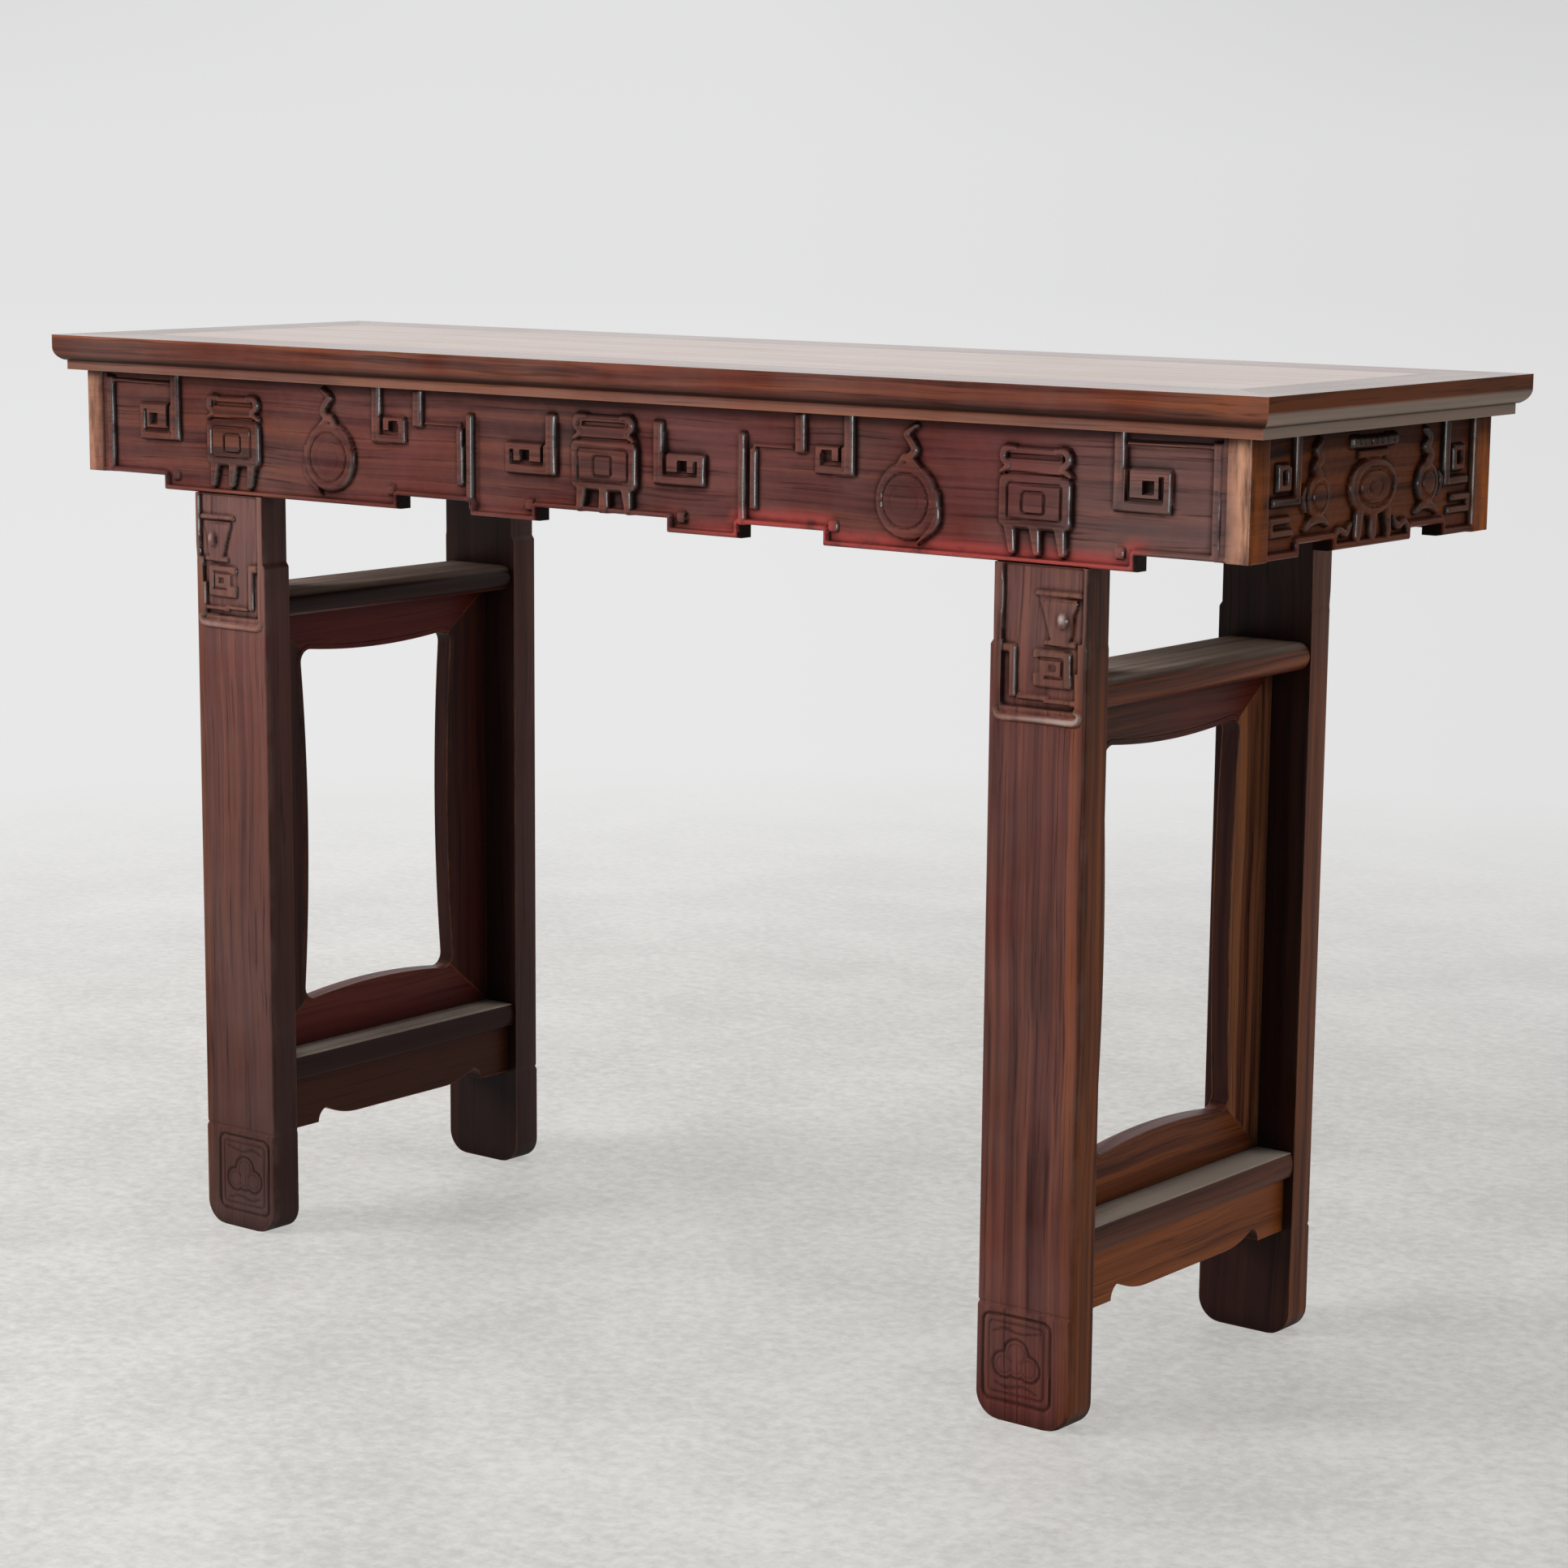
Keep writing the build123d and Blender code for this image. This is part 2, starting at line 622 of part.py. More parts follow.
groove_half = leg_back - inner_frame_tongue_stop
with BuildPart() as upper_rail_right:
    extrude(rail_section(upper_rail_bottom, upper_rail_height, upper_rail_bulge), leg_back,
            both=True)
    rail_tenons(upper_rail_bottom, upper_rail_height)
    block(around(leg_centre, inner_frame_tongue_thickness, fit),
          (-groove_half - fit, groove_half + fit),
          (upper_rail_bottom, upper_rail_bottom + inner_frame_tongue + end_fit), Mode.SUBTRACT)
save(upper_rail_right.part, "upper_rail_right")
save_mirrored(upper_rail_right.part, Plane.YZ, "upper_rail_left")

with BuildPart() as lower_rail_right:
    extrude(rail_section(lower_rail_bottom, lower_rail_height, lower_rail_bulge), leg_back,
            both=True)
    rail_tenons(lower_rail_bottom, lower_rail_height)
    block(around(leg_centre, inner_frame_tongue_thickness, fit),
          (-groove_half - fit, groove_half + fit),
          (lower_rail_top - inner_frame_tongue - end_fit, lower_rail_top), Mode.SUBTRACT)
    for place in lower_apron_places:
        block(around(place, lower_apron_tongue_thickness, fit),
              (-groove_half - fit, groove_half + fit),
              (lower_rail_bottom, lower_rail_bottom + lower_apron_tongue + end_fit),
              Mode.SUBTRACT)
save(lower_rail_right.part, "lower_rail_right")
save_mirrored(lower_rail_right.part, Plane.YZ, "lower_rail_left")

# ------------------------------------------------------------------ curved inner frames
opening_half = leg_back - side_member_end
opening_top = upper_rail_bottom - top_member_end
opening_bottom = lower_rail_top + bottom_member_end


def opening(grow=0.0):
    """Outline of the opening: four sides that swell inwards, with rounded corners."""
    side = opening_half + grow
    side_middle = leg_back - side_member_middle + grow
    top = opening_top + grow
    top_middle = upper_rail_bottom - top_member_middle + grow
    bottom = opening_bottom - grow
    bottom_middle = lower_rail_top + bottom_member_middle - grow
    middle = (opening_top + opening_bottom) / 2
    with BuildSketch() as outline:
        with BuildLine():
            ThreePointArc((-side, top), (0, top_middle), (side, top))
            ThreePointArc((side, top), (side_middle, middle), (side, bottom))
            ThreePointArc((side, bottom), (0, bottom_middle), (-side, bottom))
            ThreePointArc((-side, bottom), (-side_middle, middle), (-side, top))
        make_face()
        fillet(outline.vertices(), opening_corner_round + grow)
    return outline.sketch


def mitre(high, inner_high, side):
    """Point inside the opening on the mitre that starts at an outer corner of the frame."""
    return (side * (leg_back + mitre_overrun * (opening_half - leg_back)),
            high + mitre_overrun * (inner_high - high))


def mitred_region(position):
    """Share of the end frame's rectangle that belongs to one member."""
    top_mitres = [mitre(upper_rail_bottom, opening_top, side) for side in (1, -1)]
    bottom_mitres = [mitre(lower_rail_top, opening_bottom, side) for side in (1, -1)]
    if position == "top":
        return [(-leg_back, upper_rail_bottom), (leg_back, upper_rail_bottom)] + top_mitres
    if position == "bottom":
        return [(-leg_back, lower_rail_top), (leg_back, lower_rail_top)] + bottom_mitres
    i = 0 if position == "back" else 1
    outer = leg_back if position == "back" else -leg_back
    return [(outer, lower_rail_top), (outer, upper_rail_bottom), top_mitres[i], bottom_mitres[i]]


tongue_bounds = {
    "top": ((-groove_half, groove_half), (upper_rail_bottom, upper_rail_bottom + inner_frame_tongue)),
    "bottom": ((-groove_half, groove_half), (lower_rail_top - inner_frame_tongue, lower_rail_top)),
    "back": ((leg_back, leg_back + inner_frame_tongue),
             (lower_rail_top + inner_frame_tongue_stop,
              upper_rail_bottom - inner_frame_tongue_stop)),
    "front": ((-leg_back - inner_frame_tongue, -leg_back),
              (lower_rail_top + inner_frame_tongue_stop,
               upper_rail_bottom - inner_frame_tongue_stop))}

for position, (tongue_y, tongue_z) in tongue_bounds.items():
    with BuildPart() as member:
        with BuildSketch(Plane.YZ.offset(leg_centre)):
            Polygon(*mitred_region(position), align=None)
            add(opening(), mode=Mode.SUBTRACT)
        extrude(amount=inner_frame_thickness / 2 + bead_height, both=True)
        for side in (-1, 1):
            ground = leg_centre + side * (inner_frame_thickness + bead_height) / 2
            with BuildSketch(Plane.YZ.offset(ground)):
                Polygon(*mitred_region(position), align=None)
                add(opening(bead_width), mode=Mode.SUBTRACT)
            extrude(amount=bead_height / 2, both=True, mode=Mode.SUBTRACT)
        block(around(leg_centre, inner_frame_tongue_thickness), tongue_y, tongue_z)
    save(member.part, f"inner_{position}_right")
    save_mirrored(member.part, Plane.YZ, f"inner_{position}_left")


# ------------------------------------------------------------------ lower aprons
def lower_apron_outline(x):
    """Shaped board under the lower rail: bracket feet, a step up, and a low middle."""
    foot_end = leg_back - lower_apron_foot_length
    notch = foot_end - lower_apron_step_length
    foot_z = lower_rail_bottom - lower_apron_foot_depth
    notch_z = lower_rail_bottom - lower_apron_notch_depth
    middle_z = lower_rail_bottom - lower_apron_middle_depth
    with BuildSketch(Plane.YZ.offset(x)) as outline:
        with BuildLine():
            Polyline((0, lower_rail_bottom), (leg_back, lower_rail_bottom), (leg_back, foot_z),
                     (foot_end, foot_z))
            TangentArc((foot_end, foot_z), (notch, notch_z), tangent=(0, 1))
            TangentArc((lower_apron_slope_end, middle_z), (notch, notch_z), tangent=(1, 0))
            Line((lower_apron_slope_end, middle_z), (0, middle_z))
            mirror(about=Plane.YZ)
        make_face()
    return outline.sketch


for place, name in zip(lower_apron_places, ("inner", "outer")):
    with BuildPart() as lower_apron:
        extrude(lower_apron_outline(place), lower_apron_thickness / 2, both=True)
        block(around(place, lower_apron_tongue_thickness), (-groove_half, groove_half),
              (lower_rail_bottom, lower_rail_bottom + lower_apron_tongue))
    save(lower_apron.part, f"lower_apron_{name}_right")
    save_mirrored(lower_apron.part, Plane.YZ, f"lower_apron_{name}_left")
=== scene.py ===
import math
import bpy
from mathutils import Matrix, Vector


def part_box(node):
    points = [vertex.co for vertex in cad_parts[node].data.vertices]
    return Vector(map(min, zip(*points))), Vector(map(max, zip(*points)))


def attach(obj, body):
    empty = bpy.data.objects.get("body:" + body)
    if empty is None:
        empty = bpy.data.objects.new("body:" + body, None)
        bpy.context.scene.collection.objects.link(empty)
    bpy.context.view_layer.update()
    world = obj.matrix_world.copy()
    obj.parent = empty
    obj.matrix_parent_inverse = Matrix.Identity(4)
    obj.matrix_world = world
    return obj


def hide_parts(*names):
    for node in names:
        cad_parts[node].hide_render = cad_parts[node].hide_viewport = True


bl_info = {
    "name": "Recessed-leg altar table",
    "version": (1, 0, 0),
    "blender": (4, 5, 0),
    "location": "3D View > Sidebar > Altar Table",
    "description": "Carves and finishes the pieces of a hardwood altar table round its CAD model",
    "category": "Object",
}

import bmesh
import bpy
import numpy as np
from mathutils import Matrix, Vector

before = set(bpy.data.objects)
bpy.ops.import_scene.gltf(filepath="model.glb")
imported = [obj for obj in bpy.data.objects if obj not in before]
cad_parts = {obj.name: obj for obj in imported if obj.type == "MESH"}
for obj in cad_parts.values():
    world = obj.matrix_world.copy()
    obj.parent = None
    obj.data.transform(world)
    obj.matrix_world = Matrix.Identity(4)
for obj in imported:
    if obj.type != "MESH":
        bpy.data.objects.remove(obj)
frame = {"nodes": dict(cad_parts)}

MM = 0.001
BODY = "root"
CARVED_MASKS = ("ridge", "hollow", "lacquer")
MERGE = 0.02 * MM       # points nearer than this become one
THIN_ARRIS = 0.3 * MM   # round on the edges of the boards of the top
SMALL_ARRIS = 0.6 * MM  # and on those of the inner frames
FAR = 1000.0            # in millimetres, beyond anything drawn on a face
APRON_THICKNESS = 20.0
APRON_DROP = 96.0       # from the frame of the top to the lower edge at an apron's ends
RIM_DEPTH = 0.8         # from the edge of a carved face to the points along its side that carry painted shade
# shares of painted shade, through the hollows mask, on the sides and on the back of a carved board
RIM_SHADE, BACK_SHADE = 0.85, 0.7
WEAR_SAMPLES = 6
STRETCH = 0.013         # scale of the wood's figure along its grain
BLACK, WHITE = (0.0, 0.0, 0.0), (1.0, 1.0, 1.0)
OVERHEAD = (0.96, 0.96, 0.95)  # what the polish mirrors from above


def shade(red, green, blue):
    """Scene-linear colour from the three 0-255 numbers of a colour swatch."""
    return tuple(((c / 255 + 0.055) / 1.055) ** 2.4 if c > 10 else c / 255 / 12.92
                 for c in (red, green, blue))


def millimetres(node):
    """Low and high corner of a CAD node, in millimetres."""
    low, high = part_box(node)
    return np.array(low) / MM, np.array(high) / MM


# ------------------------------------------------------------------ settings
def length(name, description, default, least=0.0):
    """Setting that is a length, given in millimetres."""
    return bpy.props.FloatProperty(name=name, description=description, default=default * MM,
                                   min=least * MM, unit="LENGTH")


def tint(name, description, *swatch):
    """Setting that is a colour, given by the three numbers of a swatch."""
    return bpy.props.FloatVectorProperty(name=name, description=description, subtype="COLOR",
                                         size=3, min=0.0, max=1.0, default=shade(*swatch))


def strength(name, description, default, unit="NONE"):
    """Setting that is the power or strength of a light."""
    return bpy.props.FloatProperty(name=name, description=description, default=default, min=0.0,
                                   unit=unit)


class AltarCarving(bpy.types.PropertyGroup):
    """Depths and roundings of the relief carving."""

    pitch: length("Pitch", "Spacing of the carved surface's points", 1.25, 0.5)
    relief: length("Apron relief", "Height of the apron's carving above its ground", 5.4)
    leg_relief: length("Leg relief", "Height of the leg's carving above its ground", 3.2)
    crown: length("Crown", "Width over which a bar rounds up to its full height", 3.4)
    ditch: length("Ditch", "Extra depth cut round each motif", 0.3)
    waver: length("Waver", "How far the cuts wander from true", 0.45)
    chisel: length("Tool marks", "Height of the marks left on the ground", 0.1)


class AltarEdges(bpy.types.PropertyGroup):
    """Softened edges."""

    arris: length("Arris", "Round on the edges of plain pieces", 0.9)
    corner: length("Apron corner", "Round where two aprons meet", 4.0)
    lip: length("Apron lip", "Round along the stepped lower edge of an apron", 1.6)
    # a dark line is painted at this height, with painted shadow spreading above it
    quirk: length("Quirk line", "Height of the dirty groove under the edge of the top", 825.5)


class AltarFinish(bpy.types.PropertyGroup):
    """Colours of the old lacquered hardwood."""

    body: tint("Body", "Main colour of the wood", 114, 69, 61)
    dark: tint("Dark figure", "Darker streaks of the grain", 42, 18, 15)
    apron: tint("Aprons", "Main colour of the carved boards", 98, 57, 53)
    apron_dark: tint("Apron figure", "Darker streaks in the carved boards", 34, 15, 14)
    end_apron: tint("End aprons", "Main colour of the carved boards at the two ends", 94, 51, 30)
    end_motif: tint("End motifs", "Duller brown on the carving at the two ends", 74, 49, 40)
    frame: tint("Frame", "Main colour of the frame of the top", 128, 72, 53)
    frame_dark: tint("Frame figure", "Darker streaks in the frame of the top", 38, 15, 11)
    end_frame: tint("End frame", "Deep amber on the two ends of the frame of the top",
                    106, 54, 22)
    warm: tint("Warm wood", "Rust brown of the boards under the lower rails", 148, 80, 38)
    inside: tint("Inner lacquer", "Deep red on the sides that face inwards", 84, 22, 20)
    lacquer: tint("Rim lacquer", "Bright red left along the lower rim of the aprons",
                  170, 70, 66)
    golden: tint("Golden wood", "Strips of bare wood at the two ends", 176, 92, 20)
    red: tint("Red patches", "Patches where red lacquer remains", 128, 38, 34)
    amber: tint("Amber streaks", "Warm brown streaks of bare heartwood", 134, 70, 28)
    bare: tint("Bare wood", "Strips where the lacquer has gone", 206, 152, 122)
    # also the colour of painted sheen under the edge of the top, and on the rails' tops partly a
    # painted reflection
    dust: tint("Dust", "Pale bloom on faces that look up", 232, 220, 204)
    # pale film in patches that also stands in for sheen (painted sheen), and on the legs the
    # colour of painted highlights
    film: tint("Film and sheen", "Thin pale film in patches over the lacquer", 222, 208, 204)
    worn: tint("Worn edge", "Wood rubbed bare along edges", 150, 96, 62)
    # near-black for grime in the hollows, and for painted shade on steep walls, in recesses and on
    # sides turned from the light
    grime: tint("Grime", "Dark dirt in the hollows", 16, 6, 5)
    panel: tint("Top panel", "Colour of the rubbed top", 178, 136, 108)
    panel_dark: tint("Panel figure", "Darker streaks in the rubbed top", 138, 94, 72)
    batten: tint("Battens", "Bare wood under the top", 92, 66, 50)
    batten_dark: tint("Batten figure", "Darker streaks in the wood under the top", 60, 42, 32)


class AltarStage(bpy.types.PropertyGroup):
    """Floor, backdrop and lamps."""

    floor: tint("Floor", "Colour of the floor", 222, 220, 216)
    backdrop: tint("Backdrop", "Colour behind the table", 227, 227, 228)
    bright: tint("Far floor", "Colour of the floor some way behind the table", 232, 232, 232)
    upper: tint("Upper backdrop", "Colour of the top of the backdrop", 223, 223, 224)
    key: strength("Key lamp", "Power of the soft lamp on the left", 420.0, "POWER")
    top: strength("Top lamp", "Power of the soft lamp overhead", 55.0, "POWER")
    side: strength("Edge lamp", "Power of the soft lamp on the right", 20.0, "POWER")
    ambient: strength("Ambient", "Strength of the even light of the room", 0.24)


SETTINGS = {"altar_carving": AltarCarving, "altar_edges": AltarEdges,
            "altar_finish": AltarFinish, "altar_stage": AltarStage}


# ------------------------------------------------------------------ shapes drawn on a face
class Drawing:
    """Relief drawn on a flat face: u runs along it, z up, all in millimetres."""

    def __init__(self, u, z, carving, relief, seed=0.0):
        waver = carving.waver / MM
        self.u = u + waver * (np.sin(z / 13.0 + seed) + np.sin(u / 17.0 + z / 29.0 + 2 * seed)) / 2
        self.z = z + waver * (np.sin(u / 15.0 + 3 * seed) + np.sin(z / 19.0 - u / 23.0 + seed)) / 2
        self.relief = relief
        self.crown = carving.crown / MM
        self.height = np.zeros_like(u)
        self.nearest = np.full_like(u, FAR)

    def lift(self, distance, top=1.0, crown=None):
        """Raise the ground where the distance is negative, with a rounded crown."""
        share = np.clip(-distance / (crown or self.crown), 0.0, 1.0)
        lifted = top * self.relief * np.sqrt(1.0 - (1.0 - share) ** 2)
        self.height = np.maximum(self.height, lifted)
        self.nearest = np.minimum(self.nearest, np.abs(distance))

    def cut(self, distance, depth, slope=1.0):
        """Cut a rounded groove where the distance is negative."""
        share = np.clip(-distance / slope, 0.0, 1.0)
        self.height = self.height - depth * np.sqrt(1.0 - (1.0 - share) ** 2)

    def box(self, u, z, soft=1.0):
        """Distance to a rectangle between two bounds on each axis."""
        across = np.abs(self.u - sum(u) / 2) - abs(u[1] - u[0]) / 2 + soft
        up = np.abs(self.z - sum(z) / 2) - abs(z[1] - z[0]) / 2 + soft
        outside = np.hypot(np.maximum(across, 0), np.maximum(up, 0))
        return np.minimum(np.maximum(across, up), 0) + outside - soft

    def bars(self, points, width, soft=0.8):
        """Distance to a square-cornered bar along upright and level runs."""
        half = width / 2
        distance = np.full_like(self.u, FAR)
        for (u1, z1), (u2, z2) in zip(points, points[1:]):
            run = self.box((min(u1, u2) - half, max(u1, u2) + half),
                           (min(z1, z2) - half, max(z1, z2) + half), soft)
            distance = np.minimum(distance, run)
        return distance

    def ribbon(self, points, widths, steps=6):
        """Distance to a smooth strip through points, its width changing along it."""
        path = smooth_path(points, steps)
        half = np.interp(np.linspace(0, 1, len(path)), np.linspace(0, 1, len(widths)), widths) / 2
        distance = np.full_like(self.u, FAR)
        for i in range(len(path) - 1):
            start, end = path[i], path[i + 1]
            run = end - start
            length_squared = max(float(run @ run), 1e-9)
            along = np.clip(((self.u - start[0]) * run[0] + (self.z - start[1]) * run[1])
                            / length_squared, 0.0, 1.0)
            gap = np.hypot(self.u - start[0] - along * run[0], self.z - start[1] - along * run[1])
            distance = np.minimum(distance, gap - (half[i] + (half[i + 1] - half[i]) * along))
        return distance

    def ring(self, u, z, radius, squash=1.0):
        """Distance to a disc about a centre."""
        return np.hypot((self.u - u) / squash, self.z - z) - radius

    def bar(self, points, width, soft=0.8, top=1.0, crown=None):
        """Raise a square-cornered bar."""
        self.lift(self.bars(points, width, soft), top, crown)

    def strip(self, points, widths, top=1.0, crown=None, steps=6):
        """Raise a smooth strip."""
        self.lift(self.ribbon(points, widths, steps), top, crown)

    def groove(self, points, width, depth):
        """Cut a square-cornered groove."""
        self.cut(self.bars(points, width), depth)

    def line(self, distance, half_width, depth, slope=1.0):
        """Cut a line along the outline of a shape."""
        self.cut(np.abs(distance) - half_width, depth, slope)

    def finish(self, carving, seed=0.0):
        """Height with the ditch round the motifs and the tool marks on the ground."""
        ground = np.clip(1.0 - self.height / (0.3 * self.relief), 0.0, 1.0)
        ditch = np.exp(-(self.nearest / 2.2) ** 2) * ground * carving.ditch / MM
        marks = (np.sin(self.u / 2.7 + np.sin(self.z / 3.1) + seed)
                 * np.sin(self.z / 3.3 + np.sin(self.u / 4.3) + 2 * seed))
        swell = np.sin(self.u / 31.0 + seed) * np.sin(self.z / 21.0 + 1.7 * seed)
        tool = carving.chisel / MM
        return self.height - ditch + tool * (marks * (0.25 + 0.75 * ground) + swell)


def smooth_path(points, steps):
    """Points on a smooth curve through the given points."""
    given = [np.array(p, float) for p in points]
    given = [2 * given[0] - given[1]] + given + [2 * given[-1] - given[-2]]
    path = []
    for a, b, c, d in zip(given, given[1:], given[2:], given[3:]):
        for i in range(steps):
            t = i / steps
            path.append(0.5 * (2 * b + (c - a) * t + (2 * a - 5 * b + 4 * c - d) * t ** 2
                               + (3 * b - a - 3 * c + d) * t ** 3))
    path.append(given[-2])
    return path


def stepped_outline(half, steps):
    """Outline of an apron. From its ends inwards, its lower edge changes at each given place to
    another drop from the frame of the top."""
    soffit = millimetres("top_rail_front")[0][2]
    points = [(half, soffit), (half, soffit - APRON_DROP)]
    for u, drop in steps:
        points += [(u, points[-1][1]), (u, soffit - drop)]
    return points + [(-u, z) for u, z in reversed(points)]


def lines_between(fixed, pitch):
    """Grid lines through fixed places, and evenly between them no further apart than the pitch."""
    fixed = sorted(set(round(f, 4) for f in fixed))
    lines = [fixed[0]]
    for a, b in zip(fixed, fixed[1:]):
        count = max(1, math.ceil((b - a) / pitch - 1e-6))
        lines += [a + (b - a) * i / count for i in range(1, count + 1)]
    return np.array(lines)


def inside(outline, u, z):
    """True where a point lies inside a closed outline."""
    result = np.zeros(u.shape, bool)
    for (u1, z1), (u2, z2) in zip(outline, outline[1:] + outline[:1]):
        if z1 != z2:
            crosses = (z1 > z) != (z2 > z)
            result ^= crosses & (u < (u2 - u1) * (z - z1) / (z2 - z1) + u1)
    return result


def edge_distance(edges, u, z):
    """Distance to the nearest of some straight edges."""
    nearest = np.full(u.shape, FAR)
    for (u1, z1), (u2, z2) in edges:
        across, up = u2 - u1, z2 - z1
        length_squared = max(across ** 2 + up ** 2, 1e-9)
        along = np.clip(((u - u1) * across + (z - z1) * up) / length_squared, 0, 1)
        nearest = np.minimum(nearest, np.hypot(u - u1 - along * across, z - z1 - along * up))
    return nearest


def blurred(values, reach):
    """Values averaged over a square window of grid points, twice."""
    span = 2 * reach + 1
    for axis in (0, 1, 0, 1):
        padded = np.pad(values, [(reach + 1, reach) if a == axis else (0, 0) for a in (0, 1)],
                        mode="edge")
        total = np.cumsum(padded, axis=axis)
        count = values.shape[axis]
        high = np.take(total, range(span, span + count), axis=axis)
        values = (high - np.take(total, range(count), axis=axis)) / span
    return values


# ------------------------------------------------------------------ pieces in mesh
def make_piece(name, points, faces, masks, sharp=38.0):
    """Closed piece from points in millimetres. Masks are values kept on its points, and edges
    sharper than an angle stay sharp."""
    mesh = bpy.data.meshes.new(name)
    mesh.from_pydata(np.asarray(points, float) * MM, [], faces)
    for mask, values in masks.items():
        layer = mesh.attributes.new(mask, "FLOAT", "POINT")
        layer.data.foreach_set("value", np.asarray(values, np.float32))
    solid = bmesh.new()
    solid.from_mesh(mesh)
    bmesh.ops.remove_doubles(solid, verts=solid.verts, dist=MERGE)
    bmesh.ops.dissolve_degenerate(solid, edges=solid.edges, dist=MERGE / 2)
    bmesh.ops.recalc_face_normals(solid, faces=solid.faces)
    solid.to_mesh(mesh)
    solid.free()
    mesh.polygons.foreach_set("use_smooth", [True] * len(mesh.polygons))
    mesh.set_sharp_from_angle(angle=math.radians(sharp))
    piece = bpy.data.objects.new(name, mesh)
    bpy.context.scene.collection.objects.link(piece)
    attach(piece, BODY)
    return piece


def carved_board(name, outline, fixed_u, fixed_z, pitch, depth_of, place, back_place, axis,
                 strip_width):
    """Board with a carved face.

    depth_of gives how far the face lies behind its front plane, and the masks. place and
    back_place put points of the face and the back in space. axis is the number of the axis along
    the board, and strip_width the width of the bare strips at its ends.
    """
    us = lines_between(fixed_u, pitch)
    zs = lines_between(fixed_z, pitch)
    u, z = np.meshgrid(us, zs, indexing="ij")
    depth, *shares = depth_of(u, z)
    kept = inside(outline, (u[:-1, :-1] + u[1:, 1:]) / 2, (z[:-1, :-1] + z[1:, 1:]) / 2)
    used = np.zeros(u.shape, bool)
    for i in (0, 1):
        for j in (0, 1):
            used[i:i + kept.shape[0], j:j + kept.shape[1]] |= kept
    index = np.full(u.shape, -1)
    index[used] = np.arange(used.sum())
    corners = (index[:-1, :-1], index[1:, :-1], index[1:, 1:], index[:-1, 1:])
    faces = np.stack([corner[kept] for corner in corners], axis=1).tolist()
    points = np.stack(place(u[used], depth[used], z[used]), axis=1).tolist()
    masks = {mask: share[used].tolist() for mask, share in zip(CARVED_MASKS, shares)}

    def add_point(point, dirt):
        points.append(point)
        for mask, value in zip(CARVED_MASKS, (0.0, dirt, 0.0)):
            masks[mask].append(value)
        return len(points) - 1

    # the back and the sides of the board are darkened as painted shade
    back = {corner: add_point(back_place(*corner), BACK_SHADE) for corner in outline}
    rim_of = {}
    for start, end in zip(outline, outline[1:] + outline[:1]):
        level = start[1] == end[1]
        run, other = (us, zs) if level else (zs, us)
        first, last = (start[0], end[0]) if level else (start[1], end[1])
        low, high = sorted((first, last))
        along = [k for k in range(len(run)) if low - 1e-3 <= run[k] <= high + 1e-3]
        if last < first:
            along.reverse()
        across = int(np.argmin(np.abs(other - start[1 if level else 0])))
        cells = [(k, across) if level else (across, k) for k in along]
        strip = [int(index[cell]) for cell in cells]
        for cell, front in zip(cells, strip):
            if front not in rim_of:
                rim = place(u[cell], depth[cell] + RIM_DEPTH, z[cell])
                rim_of[front] = add_point([float(v) for v in rim], RIM_SHADE)
        behind = [rim_of[front] for front in strip]
        faces += [(a, b, d, c) for a, b, c, d in zip(strip, strip[1:], behind, behind[1:])]
        faces.append(behind + [back[end], back[start]])
    faces.append([back[corner] for corner in outline])
    half = max(abs(corner[0]) for corner in outline)
    masks["bare"] = [bare_share(p[axis], half, strip_width) for p in points]
    return make_piece(name, points, faces, masks)


def bare_share(along, half, width):
    """Share of bare wood near an end: patchy at first, whole at the corner."""
    inwards = abs(along) - (half - width)
    if inwards <= 0:
        return 0.0
    return min(1.0, 0.15 + 1.3 * inwards / width) * (1.0 if along > 0 else 0.6)


def relief_masks(height, relief, reach):
    """Where the carving stands proud and gets rubbed, and the hollows round it, darkened partly as
    grimy soiling and partly as painted shade.
    """
    around = blurred(height, reach)
    ridge = np.clip((height - around) / relief * 1.6, 0.0, 1.0)
    hollow = np.clip((around - height) / relief * 2.4 - 0.3, 0.0, 1.0)
    return ridge, hollow


